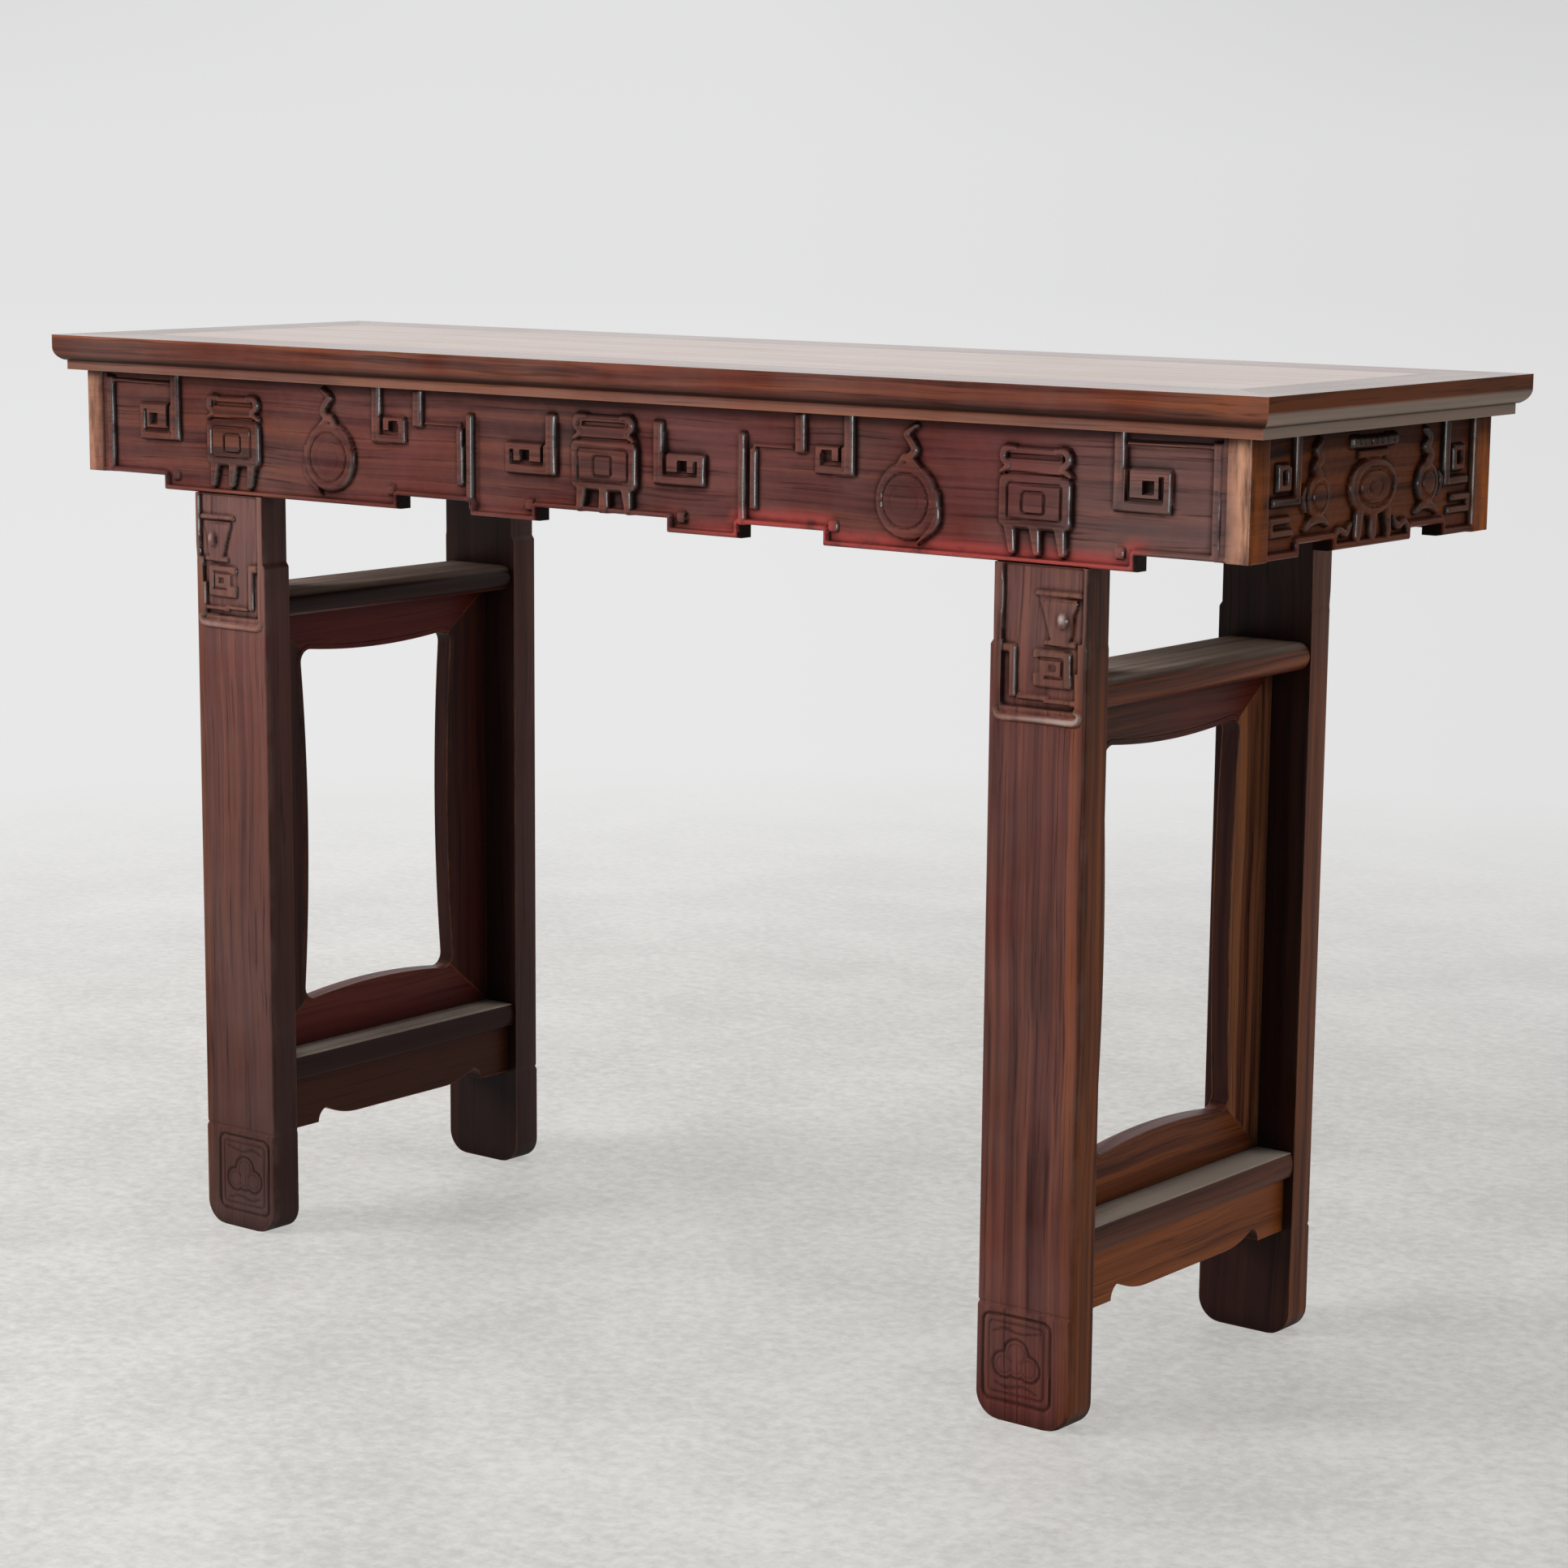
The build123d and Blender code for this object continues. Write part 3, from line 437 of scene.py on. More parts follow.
# ------------------------------------------------------------------ materials
class Nodes:
    """Short way to place and join nodes in a tree."""

    def __init__(self, tree):
        self.tree = tree

    def add(self, kind, inputs=None, **values):
        """Node with its values and its inputs, which go by name or number."""
        node = self.tree.nodes.new(kind)
        count = len(self.tree.nodes)
        node.location = (190 * count, -160 * (count % 5))
        for name, value in values.items():
            setattr(node, name, value)
        for key, value in (inputs or {}).items():
            self.feed(node.inputs[key], value)
        return node

    def feed(self, target, value):
        """Join an output to an input, or give it a number, a vector or a colour."""
        if isinstance(value, bpy.types.NodeSocket):
            self.tree.links.new(value, target)
        else:
            target.default_value = (*value, 1.0) if target.type == "RGBA" else value

    def math(self, operation, *values):
        """Result of one operation on numbers."""
        return self.add("ShaderNodeMath", dict(enumerate(values)), operation=operation).outputs[0]

    def vector(self, operation, *values):
        """Result of one operation on vectors."""
        node = self.add("ShaderNodeVectorMath", dict(enumerate(values)), operation=operation)
        return node.outputs["Value" if operation in ("DOT_PRODUCT", "LENGTH") else "Vector"]

    def times(self, product, *values):
        """Product of two or more numbers."""
        for value in values:
            product = self.math("MULTIPLY", product, value)
        return product

    def plus(self, base, value, share=1.0):
        """Number with a share of another added."""
        return self.math("MULTIPLY_ADD", value, share, base)

    def rest(self, value):
        """What a share leaves of the whole."""
        return self.math("SUBTRACT", 1.0, value)

    def mix(self, share, low, high):
        """Colour between two others."""
        return self.add("ShaderNodeMix", {0: share, 6: low, 7: high}, data_type="RGBA").outputs[2]

    def ramp(self, value, low, high, to_low=0.0, to_high=1.0, curve="LINEAR"):
        """Number carried from one range to another, and held at its ends."""
        return self.add("ShaderNodeMapRange", {
            "Value": value, "From Min": low, "From Max": high, "To Min": to_low,
            "To Max": to_high}, interpolation_type=curve).outputs[0]

    def noise(self, vector, scale, detail, rough, twist=0.0):
        """Soft random pattern between 0 and 1."""
        return self.add("ShaderNodeTexNoise", {
            "Vector": vector, "Scale": scale, "Detail": detail, "Roughness": rough,
            "Distortion": twist}).outputs[0]

    def mask(self, name):
        """Value kept on the points of a carved piece, and 0 on other pieces."""
        return self.add("ShaderNodeAttribute", attribute_name=name).outputs["Fac"]

    def place(self):
        """Place on the piece, which is also the place in the table."""
        return self.add("ShaderNodeTexCoord").outputs["Object"]

    def normal(self):
        """Direction that the surface faces."""
        return self.add("ShaderNodeNewGeometry").outputs["Normal"]

    def axes(self, vector):
        """The three numbers of a vector, by X, Y and Z."""
        return self.add("ShaderNodeSeparateXYZ", {"Vector": vector}).outputs


def grain_outputs(nodes, given):
    """Figure of the wood: long streaks, short pores and broad changes of tone."""
    piece = nodes.add("ShaderNodeObjectInfo").outputs["Object Index"]
    shift = nodes.add("ShaderNodeCombineXYZ", {
        axis: nodes.times(piece, step) for axis, step in zip("XYZ", (0.731, 0.517, 0.377))})
    moved = nodes.vector("ADD", nodes.place(), shift.outputs[0])
    drift = nodes.add("ShaderNodeTexNoise", {"Vector": moved, "Scale": 4.0, "Detail": 2.0})
    bent = nodes.vector("MULTIPLY_ADD", drift.outputs["Color"], (0.016, 0.016, 0.016), moved)
    drawn = nodes.vector("MULTIPLY", bent, given["Along"])
    return {
        "Streaks": nodes.ramp(nodes.noise(drawn, given["Streak scale"], 5.0, 0.6, 0.3), 0.3, 0.7),
        "Pores": nodes.ramp(nodes.noise(drawn, given["Pore scale"], 2.0, 0.5), 0.56, 0.72),
        "Tone": nodes.ramp(nodes.noise(bent, given["Tone scale"], 5.0, 0.62), 0.32, 0.68)}


def wear_outputs(nodes, given):
    """Wear along edges and on ridges, darkening in corners and hollows (partly grimy soiling,
    partly painted shade), and the carved masks.
    """
    soft = nodes.add("ShaderNodeBevel", {"Radius": given["Edge width"]}, samples=WEAR_SAMPLES)
    same = nodes.vector("DOT_PRODUCT", soft.outputs[0], nodes.normal())
    place = nodes.place()
    broken = nodes.noise(place, given["Edge break"], 6.0, 0.65)
    fallen = nodes.vector("MULTIPLY", place, (1.0, 1.0, 0.14))
    shut = nodes.add("ShaderNodeAmbientOcclusion", {"Distance": given["Grime reach"]},
                     samples=WEAR_SAMPLES)
    proud, sunk = nodes.mask("ridge"), nodes.mask("hollow")
    return {
        "Edge": nodes.times(nodes.ramp(same, 0.995, 0.86), nodes.ramp(broken, 0.35, 0.62)),
        "Ridge": nodes.times(proud, nodes.ramp(broken, 0.28, 0.6)),
        # ambient occlusion and the hollows mask: grimy soiling and painted shade in corners and
        # recesses
        "Grime": nodes.math("MAXIMUM", nodes.ramp(shut.outputs["AO"], 0.8, 0.35), sunk),
        "Bare": nodes.times(nodes.mask("bare"), nodes.ramp(broken, 0.25, 0.55, 0.35)),
        "Lacquer": nodes.times(nodes.mask("lacquer"), nodes.ramp(broken, 0.3, 0.46)),
        "Scuffs": nodes.ramp(nodes.noise(fallen, 120.0, 4.0, 0.6), 0.46, 0.7),
        "Carved": nodes.ramp(nodes.math("MAXIMUM", proud, sunk), 0.12, 0.2)}


def dust_outputs(nodes, given):
    """Faces that look up, and the pale bloom that gathers on them."""
    upward = nodes.ramp(nodes.axes(nodes.normal())["Z"], 0.55, 0.95)
    patches = nodes.noise(nodes.place(), given["Patch scale"], 6.0, 0.6)
    return {"Upward": upward,
            "Dust": nodes.times(upward, nodes.ramp(patches, 0.3, 0.6, 0.7)),
            "Patches": nodes.ramp(patches, 0.36, 0.64)}


def facing_outputs(nodes, given):
    """Where a face lies in the table, and which way it looks."""
    place = nodes.axes(nodes.place())
    normal = nodes.axes(nodes.normal())
    ends, sides = (nodes.times(nodes.math("SIGN", place[axis]), normal[axis]) for axis in "XY")
    below = nodes.times(normal["Z"], -1.0)
    across, along = (nodes.math("ABSOLUTE", normal[axis]) for axis in "XY")
    right = nodes.times(nodes.math("SIGN", place["Y"]), normal["X"], -1.0)
    outer = nodes.ramp(nodes.math("ABSOLUTE", place["X"]), 0.489, 0.494)
    return {
        "Outward": nodes.ramp(ends, 0.45, 0.8),
        "Inward": nodes.ramp(ends, -0.25, -0.8),
        "Within": nodes.ramp(sides, -0.25, -0.8),
        "Arris": nodes.times(outer, nodes.ramp(place["Z"], 0.66, 0.64)),
        "High": nodes.ramp(place["Z"], 0.56, 0.68),
        "Low": nodes.ramp(place["Z"], 0.6, 0.06),
        "Left": nodes.ramp(place["X"], 0.1, -0.1),
        "Far right": nodes.ramp(place["X"], 0.38, 0.56),
        "Walls X": nodes.math("MAXIMUM", across, below),
        "Walls Y": nodes.math("MAXIMUM", along, below),
        "Rubbed X": nodes.ramp(right, 0.2, 0.5),
        "Rubbed Y": nodes.ramp(along, 0.2, 0.5)}


GROUPS = {
    "Wood grain": (grain_outputs, {"Along": (1.0, 1.0, 1.0), "Streak scale": 90.0,
                                   "Pore scale": 420.0, "Tone scale": 5.0}),
    "Handling wear": (wear_outputs, {"Edge width": 0.0025, "Edge break": 26.0,
                                     "Grime reach": 0.03}),
    "Settled dust": (dust_outputs, {"Patch scale": 7.0}),
    "Facing": (facing_outputs, {}),
}


def shared_group(name):
    """Shader node group that the hardwood materials share, built once."""
    if name in bpy.data.node_groups:
        return bpy.data.node_groups[name]
    make_outputs, defaults = GROUPS[name]
    group = bpy.data.node_groups.new(name, "ShaderNodeTree")
    for label, default in defaults.items():
        kind = "NodeSocketVector" if isinstance(default, tuple) else "NodeSocketFloat"
        given = group.interface.new_socket(name=label, in_out="INPUT", socket_type=kind)
        given.default_value = default
    nodes = Nodes(group)
    outputs = make_outputs(nodes, nodes.add("NodeGroupInput").outputs)
    for label in outputs:
        group.interface.new_socket(name=label, in_out="OUTPUT", socket_type="NodeSocketFloat")
    nodes.add("NodeGroupOutput", outputs)
    return group


class Look:
    """What can differ from one hardwood finish to another."""

    red = 0.35             # share of red patches
    amber = 0.35           # share of amber streaks
    edge = 1.0             # wear along edges
    rubbed = 0.12          # wear on ridges
    arris = 0.0            # wear on rounded upright edges; it also turns on the legs' painted shade and sheen
    inner = None           # colour of sides that face inwards, and its share; near-black or dark there is painted shade
    faded = 0.85           # share of the colour bared on sides that face outwards
    bared = None           # that colour: amber if none is given
    film = 0.03            # share of a pale film in patches, which also stands in for the sheen of the polish: painted sheen
    right_film = 0.0       # more of it at the right end: painted sheen
    walls = None           # axis along a carved board, whose steep walls are darkened as painted shade
    shine = 0.7            # polish on the edges of carving that face right
    dirt_line = None       # height of a dark line of painted shadow under the edge of the top
    shadow_reach = 0.0085    # how far that painted shadow spreads above it
    sheen = 0.0            # share of painted sheen below a height
    sheen_top = 0.0        # that height, measured from the dark line
    dust = 0.0             # dust on faces that look up
    coat = 0.0             # wax on faces that look up
    gloss = (0.3, 0.44)    # roughness of light and of dark streaks
    ior = 1.2              # index of refraction

    def __init__(self, **changes):
        for name, value in changes.items():
            setattr(self, name, value)


def wood(name, grain, body, dark, worn, **changes):
    """Material for old hardwood whose grain runs along one axis."""
    look = Look(**changes)
    material = bpy.data.materials.new(name)
    material.use_nodes = True
    nodes = Nodes(material.node_tree)
    figure, wear, bloom, facing = (nodes.add("ShaderNodeGroup", node_tree=shared_group(group))
                                   for group in GROUPS)
    figure.inputs["Along"].default_value = [STRETCH if axis == grain else 1.0 for axis in "XYZ"]
    figure, wear, bloom, facing = (made.outputs for made in (figure, wear, bloom, facing))
    colour = nodes.mix(nodes.plus(0.05, figure["Streaks"], 0.9), dark, body)
    for share, layer in colour_layers(nodes, look, dark, worn, figure, wear, bloom, facing):
        colour = nodes.mix(share, colour, layer)
    rough = nodes.ramp(figure["Streaks"], 0.0, 1.0, look.gloss[1], look.gloss[0])
    rough = nodes.plus(rough, wear["Grime"], 0.25)
    rough = nodes.plus(rough, wear["Ridge"], -0.08)
    rough = nodes.plus(rough, bloom["Upward"], min(0.4, look.dust))
    relief = nodes.plus(nodes.times(figure["Streaks"], 0.4), figure["Pores"], -0.6)
    bump = nodes.add("ShaderNodeBump", {"Height": relief, "Strength": 0.35, "Distance": 0.0004})
    waxed = nodes.times(bloom["Upward"],
                        nodes.ramp(figure["Tone"], 0.0, 1.0, look.coat, look.coat * 0.8))
    polished = nodes.times(wear["Ridge"], 0.12)
    if look.walls:
        turned = nodes.times(facing[f"Rubbed {look.walls}"],
                             nodes.ramp(wear["Ridge"], 0.05, 0.3), look.shine)
        polished = nodes.math("MAXIMUM", polished, turned)
    surface = material.node_tree.nodes["Principled BSDF"].inputs
    for label, value in (("Base Color", colour), ("Roughness", rough), ("IOR", look.ior),
                         ("Normal", bump.outputs[0]), ("Coat Roughness", 0.24),
                         ("Coat Weight", nodes.math("MAXIMUM", waxed, polished)),
                         ("Coat IOR", 2.0)):
        nodes.feed(surface[label], value)
    return material


def colour_layers(nodes, look, dark, worn, figure, wear, bloom, facing):
    """Shares and colours of the thin layers over the figure of the wood, lowest first."""
    finish = bpy.context.scene.altar_finish
    streaks, outward, high, left = (figure["Streaks"], facing["Outward"], facing["High"],
                                    facing["Left"])
    warm = nodes.times(nodes.rest(figure["Tone"]), nodes.ramp(streaks, 0.35, 0.9), look.amber)
    bared = nodes.mix(nodes.ramp(streaks, 0.1, 0.75), dark, look.bared or finish.amber)
    layers = [(nodes.times(figure["Tone"], look.red), finish.red),
              (warm, finish.amber),
              (nodes.times(outward, look.faded), bared)]
    # pale film in patches, partly a thin film and partly painted sheen; more at the right end is
    # painted sheen
    filmed = nodes.plus(nodes.times(bloom["Patches"], look.film), facing["Far right"],
                        look.right_film)
    if look.arris:
        # legs darken towards the floor, far more on the left legs; that extra on the left is
        # painted shade
        darker_low = nodes.times(facing["Low"], nodes.plus(0.2, left, 0.6))
        layers += [(darker_low, dark),
                   (nodes.times(facing["Arris"], look.arris),
                    nodes.mix(streaks, dark, finish.amber))]
        # more pale film on the legs' heads and on the left legs: painted sheen
        filmed = nodes.plus(nodes.plus(filmed, high, 0.04), left, 0.022)
    layers.append((nodes.times(filmed, nodes.rest(outward)), finish.film))
    # sides that face inwards: painted shade where the colour is near-black or dark, red lacquer
    # where it is the deep red
    if look.inner:
        layers.append((nodes.times(facing["Inward"], look.inner[1]), look.inner[0]))
    if look.arris:
        # upright sides of the legs' heads: painted shadow under the aprons
        sides = nodes.plus(outward, facing["Inward"])
        layers.append((nodes.times(sides, high, 0.45), finish.grime))
    layers += [
        # faces turned towards the middle of the table: painted shade
        (nodes.times(facing["Within"], 0.85), finish.grime),
        (nodes.times(figure["Pores"], 0.55), finish.grime),
        (nodes.times(wear["Ridge"], look.rubbed), worn),
        (nodes.times(wear["Lacquer"], nodes.ramp(streaks, 0.0, 0.5), 0.85), finish.lacquer)]
    # steep walls of the carving: painted shade
    if look.walls:
        steep = nodes.ramp(facing[f"Walls {look.walls}"], 0.45, 0.9, 0.0, 0.88)
        layers.append((nodes.times(wear["Carved"], steep), finish.grime))
    # on the legs the bare mask holds painted highlights, drawn in the film colour; elsewhere it is
    # bare wood
    strip = finish.film
    if not look.arris:
        strip = nodes.mix(outward, finish.bare, finish.golden)
        strip = nodes.mix(nodes.times(wear["Scuffs"], 0.85), strip, finish.dark)
    layers += [(nodes.times(wear["Bare"], 0.95), strip),
               (nodes.times(wear["Edge"], 0.75 * look.edge), worn)]
    if look.dust:
        # less on the left upper rail: painted shade
        settled = nodes.times(bloom["Dust"], look.dust,
                              nodes.ramp(streaks, 0.15, 0.75, 0.6, 1.15),
                              nodes.plus(1.0, left, -0.5 if look.dust < 1 else 0.0))
        layers.append((settled, finish.dust))
    # last layer: ambient occlusion and the hollows mask, partly grimy soiling and partly painted
    # shade, and on the frame the painted shadow line
    dirt = nodes.times(wear["Grime"], 0.92)
    # dark line at the quirk, spreading upwards over the round: painted shadow under the edge of
    # the top
    if look.dirt_line:
        above = nodes.math("SUBTRACT", nodes.axes(nodes.place())["Z"], look.dirt_line)
        groove = nodes.times(nodes.ramp(above, look.shadow_reach, look.shadow_reach / 4, 0.0, 0.9),
                             nodes.ramp(above, -0.0005, 0.0005))
        dirt = nodes.math("MAXIMUM", dirt, groove)
        # pale band below the dark line, in the dust colour: painted sheen on the round of the
        # top's edge
        sheen = nodes.ramp(above, look.sheen_top, look.sheen_top - 0.003, 0.0, look.sheen)
        layers.append((sheen, finish.dust))
    return layers + [(dirt, finish.grime)]


def hardwood(grain, carved=False):
    """Hardwood finish for one grain direction, made once."""
    name = f"{'Carved' if carved else 'Plain'} hardwood along {grain}"
    if name in bpy.data.materials:
        return bpy.data.materials[name]
    finish = bpy.context.scene.altar_finish
    if not carved:
        upright = grain == "Z"
        # the near-black on the inward sides of uprights is painted shade
        return wood(name, grain, finish.body, finish.dark, finish.worn, film=0.0,
                    inner=(finish.grime, 0.7) if upright else (finish.inside, 0.6),
                    bared=finish.worn if upright else finish.amber)
    if grain == "Z":
        # the dark inward sides of the legs are painted shade
        return wood(name, grain, finish.body, finish.dark, finish.worn, edge=0.5,
                    inner=(finish.dark, 0.46), arris=0.5, walls="X", red=0.25, rubbed=0.3)
    if grain == "Y":
        return wood(name, grain, finish.end_apron, finish.grime, finish.end_motif, red=0.1,
                    amber=0.5, edge=0.1, film=0.0, faded=0.3, walls="Y", rubbed=0.8, shine=0.3,
                    ior=1.12)
    # more pale film at the right end of the long aprons: painted sheen
    return wood(name, grain, finish.apron, finish.apron_dark, finish.worn, red=0.3, film=0.045,
                edge=0.15, faded=0.0, walls="X", right_film=0.05)


def nodes_named(start):
    """Names of the CAD nodes that begin with a word."""
    found = [n for n in sorted(frame["nodes"]) if n.startswith(start)]
    if not found:
        raise RuntimeError(f"the frame has no node that begins with {start}")
    return found


def number_piece(piece, node):
    """Give a piece its node's number, which shifts the grain of its wood."""
    piece.pass_index = sorted(frame["nodes"]).index(node) + 1


def dress(node, material, bevel=None):
    """Give a CAD node its finish and soften its edges, without touching its mesh."""
    piece = frame["nodes"][node]
    for place in piece.material_slots:
        place.material = material
    number_piece(piece, node)
    weld = piece.modifiers.new("Join", "WELD")
    weld.merge_threshold = MERGE / 2
    soft = piece.modifiers.new("Soft edges", "BEVEL")
    soft.width = bevel or bpy.context.scene.altar_edges.arris
    soft.segments = 2
    soft.limit_method = "ANGLE"
    soft.angle_limit = math.radians(32)
    soft.harden_normals = False
    soft.use_clamp_overlap = True
    even = piece.modifiers.new("Even shading", "WEIGHTED_NORMAL")
    even.keep_sharp = False


def stand_for(piece, node, grain):
    """Let a carved piece take the place of its CAD node."""
    piece.data.materials.append(hardwood(grain, carved=True))
    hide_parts(node)
    number_piece(piece, node)


# ------------------------------------------------------------------ carving of the aprons
def at(u, z, *offsets):
    """Points at some offsets from a place."""
    return [(u + across, z + up) for across, up in offsets]


def vessel(d, u, bottom, width):
    """Archaic bronze vessel in flat relief: body with a boss, lidded neck, curled ears, feet."""
    half = width / 2
    top = bottom + 43
    d.lift(d.box((u - half * 0.76, u + half * 0.76), (top - 4, top + 22), 2), 0.7)
    d.lift(d.box((u - half, u + half), (bottom, top), 7), crown=4.5)
    d.line(d.box((u - half + 10, u + half - 9), (bottom + 8, top - 7), 3), 1.3, 1.9)
    d.line(d.box((u - 11, u + 10), (bottom + 13, top - 13), 3), 1.2, 1.9)
    d.groove(at(u, top, (-24, 14), (22, 14)), 4, 2.4)
    d.groove(at(u, top, (-half * 0.7, 1), (half * 0.7, 1)), 2.4, 2.0)
    for k in (-1, 1):
        ear = at(u, top, (k * 20, 20), (k * 29, 19), (k * 31, 12), (k * 26, 6), (k * 33, 1))
        d.strip(ear, [6, 8, 7, 7, 5], crown=3.0)
    for k in (-1, 0, 1):
        d.strip(at(u + k * half * 0.68, bottom, (0, 3), (2.5, -17)), [12, 8], steps=2)


def square_spiral(d, u, turn, top, bottom, width, crown_z):
    """Bar that falls from the top, with a square curl at its foot whose heart is cut deep."""
    bar = 12.0
    near = u + turn * (bar / 2 + 1)
    far = u + turn * (bar / 2 + width)
    d.lift(d.box((near - turn * 4, far), (bottom, crown_z), 2.5), 0.82)
    d.bar([(u, top), (u, bottom + bar / 2)], bar, 2.0, crown=5.5)
    down, back = near + turn * 1.5, far - turn * 9
    d.groove([(down, crown_z + 3), (down, bottom + 10), (back, bottom + 10),
              (back, crown_z - 8)], 3.4, 3.2)
    eye, middle = near + turn * width * 0.36, (crown_z + bottom) / 2
    d.cut(d.box((eye, eye + turn * 10), (middle - 2, middle + 8)), 0.9 * d.relief, 1.5)


def ribboned_disc(d, u, z, radius):
    """Jade disc hung from a curling ribbon, with a crescent tail."""
    top = z + radius
    d.lift(d.ring(u, z, radius), crown=7.0)
    d.line(d.ring(u, z, radius * 0.7), 1.3, 1.5)
    d.line(d.ring(u, z, radius * 0.42), 0.9, 0.6)
    d.strip(at(u, top, (-8, -3), (-2, 3), (5, 0), (14, -6)), [6, 9, 8, 4], crown=3.5)
    d.strip(at(u, top, (0, 2), (7, 9), (3, 17), (-1, 22), (8, 29)), [8, 8, 8, 7, 5], crown=3.5)
    d.strip(at(u, z, (radius * 0.94, radius * 0.3), (radius * 0.9, radius * -0.5),
               (radius * 0.35, radius * -1.05)), [4, 8, 3], 0.9, 3.0)


def draw_long_apron(u, z, rim, half, soffit, carving, seed):
    """Relief of a long apron, and its share of red lacquer."""
    centred = np.abs(u - 4.0 * np.exp(-(u / 160.0) ** 2))
    d = Drawing(centred, z, carving, carving.relief / MM, seed)
    d.lift(np.abs(rim - 2.6) - 2.6, 0.75, 2.4)
    d.lift(half - 23.0 - np.abs(u), 1.0, 3.0)
    d.lift(half - 27.5 - np.abs(u), 0.55, 1.5)
    d.bar(at(half, soffit, (-31, -9), (-31, -92)), 9, 2, 0.9)
    d.bar(at(half, soffit, (-31, -9), (-112, -9)), 4, top=0.5, crown=2.0)
    square_spiral(d, 529, 1, soffit - 3, 754, 42, 789)
    vessel(d, 451, 735, 70)
    ribboned_disc(d, 326, 750, 32)
    square_spiral(d, 267, -1, soffit, 766, 30, 791)
    d.bar([(216, soffit - 5), (216, soffit - 29)], 12, 3, crown=5.5)
    d.bar([(206, 787), (167, 787), (167, 737)], 4, top=0.5, crown=2.0)
    d.bar([(154, 794), (154, 716)], 8, 2.5, crown=4.0)
    d.bar([(166, 781), (166, 737)], 8, 2.5, 0.85, 4.0)
    square_spiral(d, 61, 1, 797, 748, 46, 776)
    vessel(d, 0, 739, 74)
    for knob, knob_z in ((250, 725), (530, 722), (86, 722)):
        d.lift(d.box((knob - 5, knob + 5), (knob_z - 5, knob_z + 5), 3), 0.55)
    sunk = np.clip((148 - centred) / 1.5, 0, 1) * np.clip((796 - z) / 3, 0, 1)
    ground = np.clip(1 - d.height / (0.25 * d.relief), 0, 1)
    d.height = d.height - 1.1 * sunk * ground * np.clip((rim - 5.5) / 2, 0, 1)
    return d, np.clip((u - 60) / 100, 0.12, 1) * np.clip((570 - u) / 40, 0, 1)


def draw_end_apron(u, z, rim, half, soffit, carving, seed):
    """Relief of an end apron, and its share of red lacquer."""
    d = Drawing(np.abs(u), z, carving, carving.relief / MM, seed)
    d.lift(np.abs(rim - 3.2) - 3.2, 0.8, 2.6)
    d.lift(half - 29.0 - np.abs(u), 1.0, 3.0)
    d.bar([(118, soffit - 3), (118, 766)], 10, 2, crown=4.5)
    d.bar([(118, 765), (150, 765)], 8, top=0.9)
    d.bar([(131, 790), (131, 776), (144, 776), (144, 792), (134, 792)], 7, top=0.9)
    d.bar([(126, 741), (156, 741), (156, 751), (130, 751)], 7, top=0.8)
    d.lift(d.ring(86, 767, 18), crown=5.0)
    d.line(d.ring(86, 767, 11), 1.6, 1.4)
    d.strip([(86, 783), (91, 790), (84, 796), (89, 803), (84, 810)], [12, 10, 11, 9, 6],
            crown=4.0)
    d.strip([(70, 744), (80, 749), (94, 748), (104, 742)], [5, 9, 9, 5], 0.9)
    d.strip([(104, 776), (109, 768), (104, 756)], [3, 7, 3], 0.9)
    d.lift(d.ring(0, 769, 24, 1.58), crown=5.0)
    d.line(d.ring(0, 769, 15, 1.7), 1.8, 1.9)
    d.line(d.ring(0, 769, 6, 1.7), 1.0, 0.8)
    d.bar([(0, 795), (20, 795)], 8, top=0.55)
    d.bar([(0, 805), (31, 805)], 11, 3, crown=4.5)
    for dash in (0, 9, 18, 27):
        d.groove([(dash, 811), (dash, 805)], 3.2, 2.2)
    for foot in (0, 22):
        d.strip([(foot, 748), (foot * 1.1, 731)], [13, 10], crown=4.5, steps=2)
    d.strip([(34, 742), (42, 735), (52, 738), (60, 731)], [4, 8, 7, 4], 0.9)
    return d, 0.1


def board_surface(d, carving, lip, rim, beyond, seed, overhang_shadow):
    """Depth of the face behind its front plane, with its masks.

    The last argument gives how far below the top, and how strongly, painted shadow falls under the
    overhang.
    """
    height = d.finish(carving, seed)
    ridge, hollow = relief_masks(height, d.relief, 5)
    below_top = d.z.max() - d.z
    # painted shadow under the overhang of the top, put into the hollows mask
    hollow = np.maximum(hollow, np.clip(1 - below_top / overhang_shadow[0], 0, 1) * overhang_shadow[1])
    near = np.clip(1 - rim / lip, 0, 1)
    depth = d.relief - height + lip * (1 - np.sqrt(1 - near ** 2)) * 0.8
    end = np.clip(beyond / 5.0, 0, 1)
    ridge = np.maximum(ridge * np.clip(rim / 4 - 0.5, 0, 1), (1 - end) * 0.3)
    return np.maximum(depth, 0) * end, ridge, hollow, np.clip(1.6 - rim / 11.0, 0, 1)


def apron_place(axis, side, front, half, corner):
    """Functions that put a point of an apron's face, or of its back, in space."""
    def turned(along, out, z):
        return (along, side * out, z) if axis == "X" else (side * out, along, z)

    def place(u, depth, z):
        angle = np.clip(np.abs(u) - (half - corner), 0, corner) / corner * math.radians(45)
        along = np.sign(u) * (np.minimum(np.abs(u), half - corner) + corner * np.sin(angle))
        return turned(along, front - corner * (1 - np.cos(angle)) - depth, z)

    def back_place(u, z):
        mitred = abs(abs(u) - half) < 1e-6
        along = math.copysign(half - APRON_THICKNESS, u) if mitred else u
        return turned(along, front - APRON_THICKNESS, z)

    return place, back_place


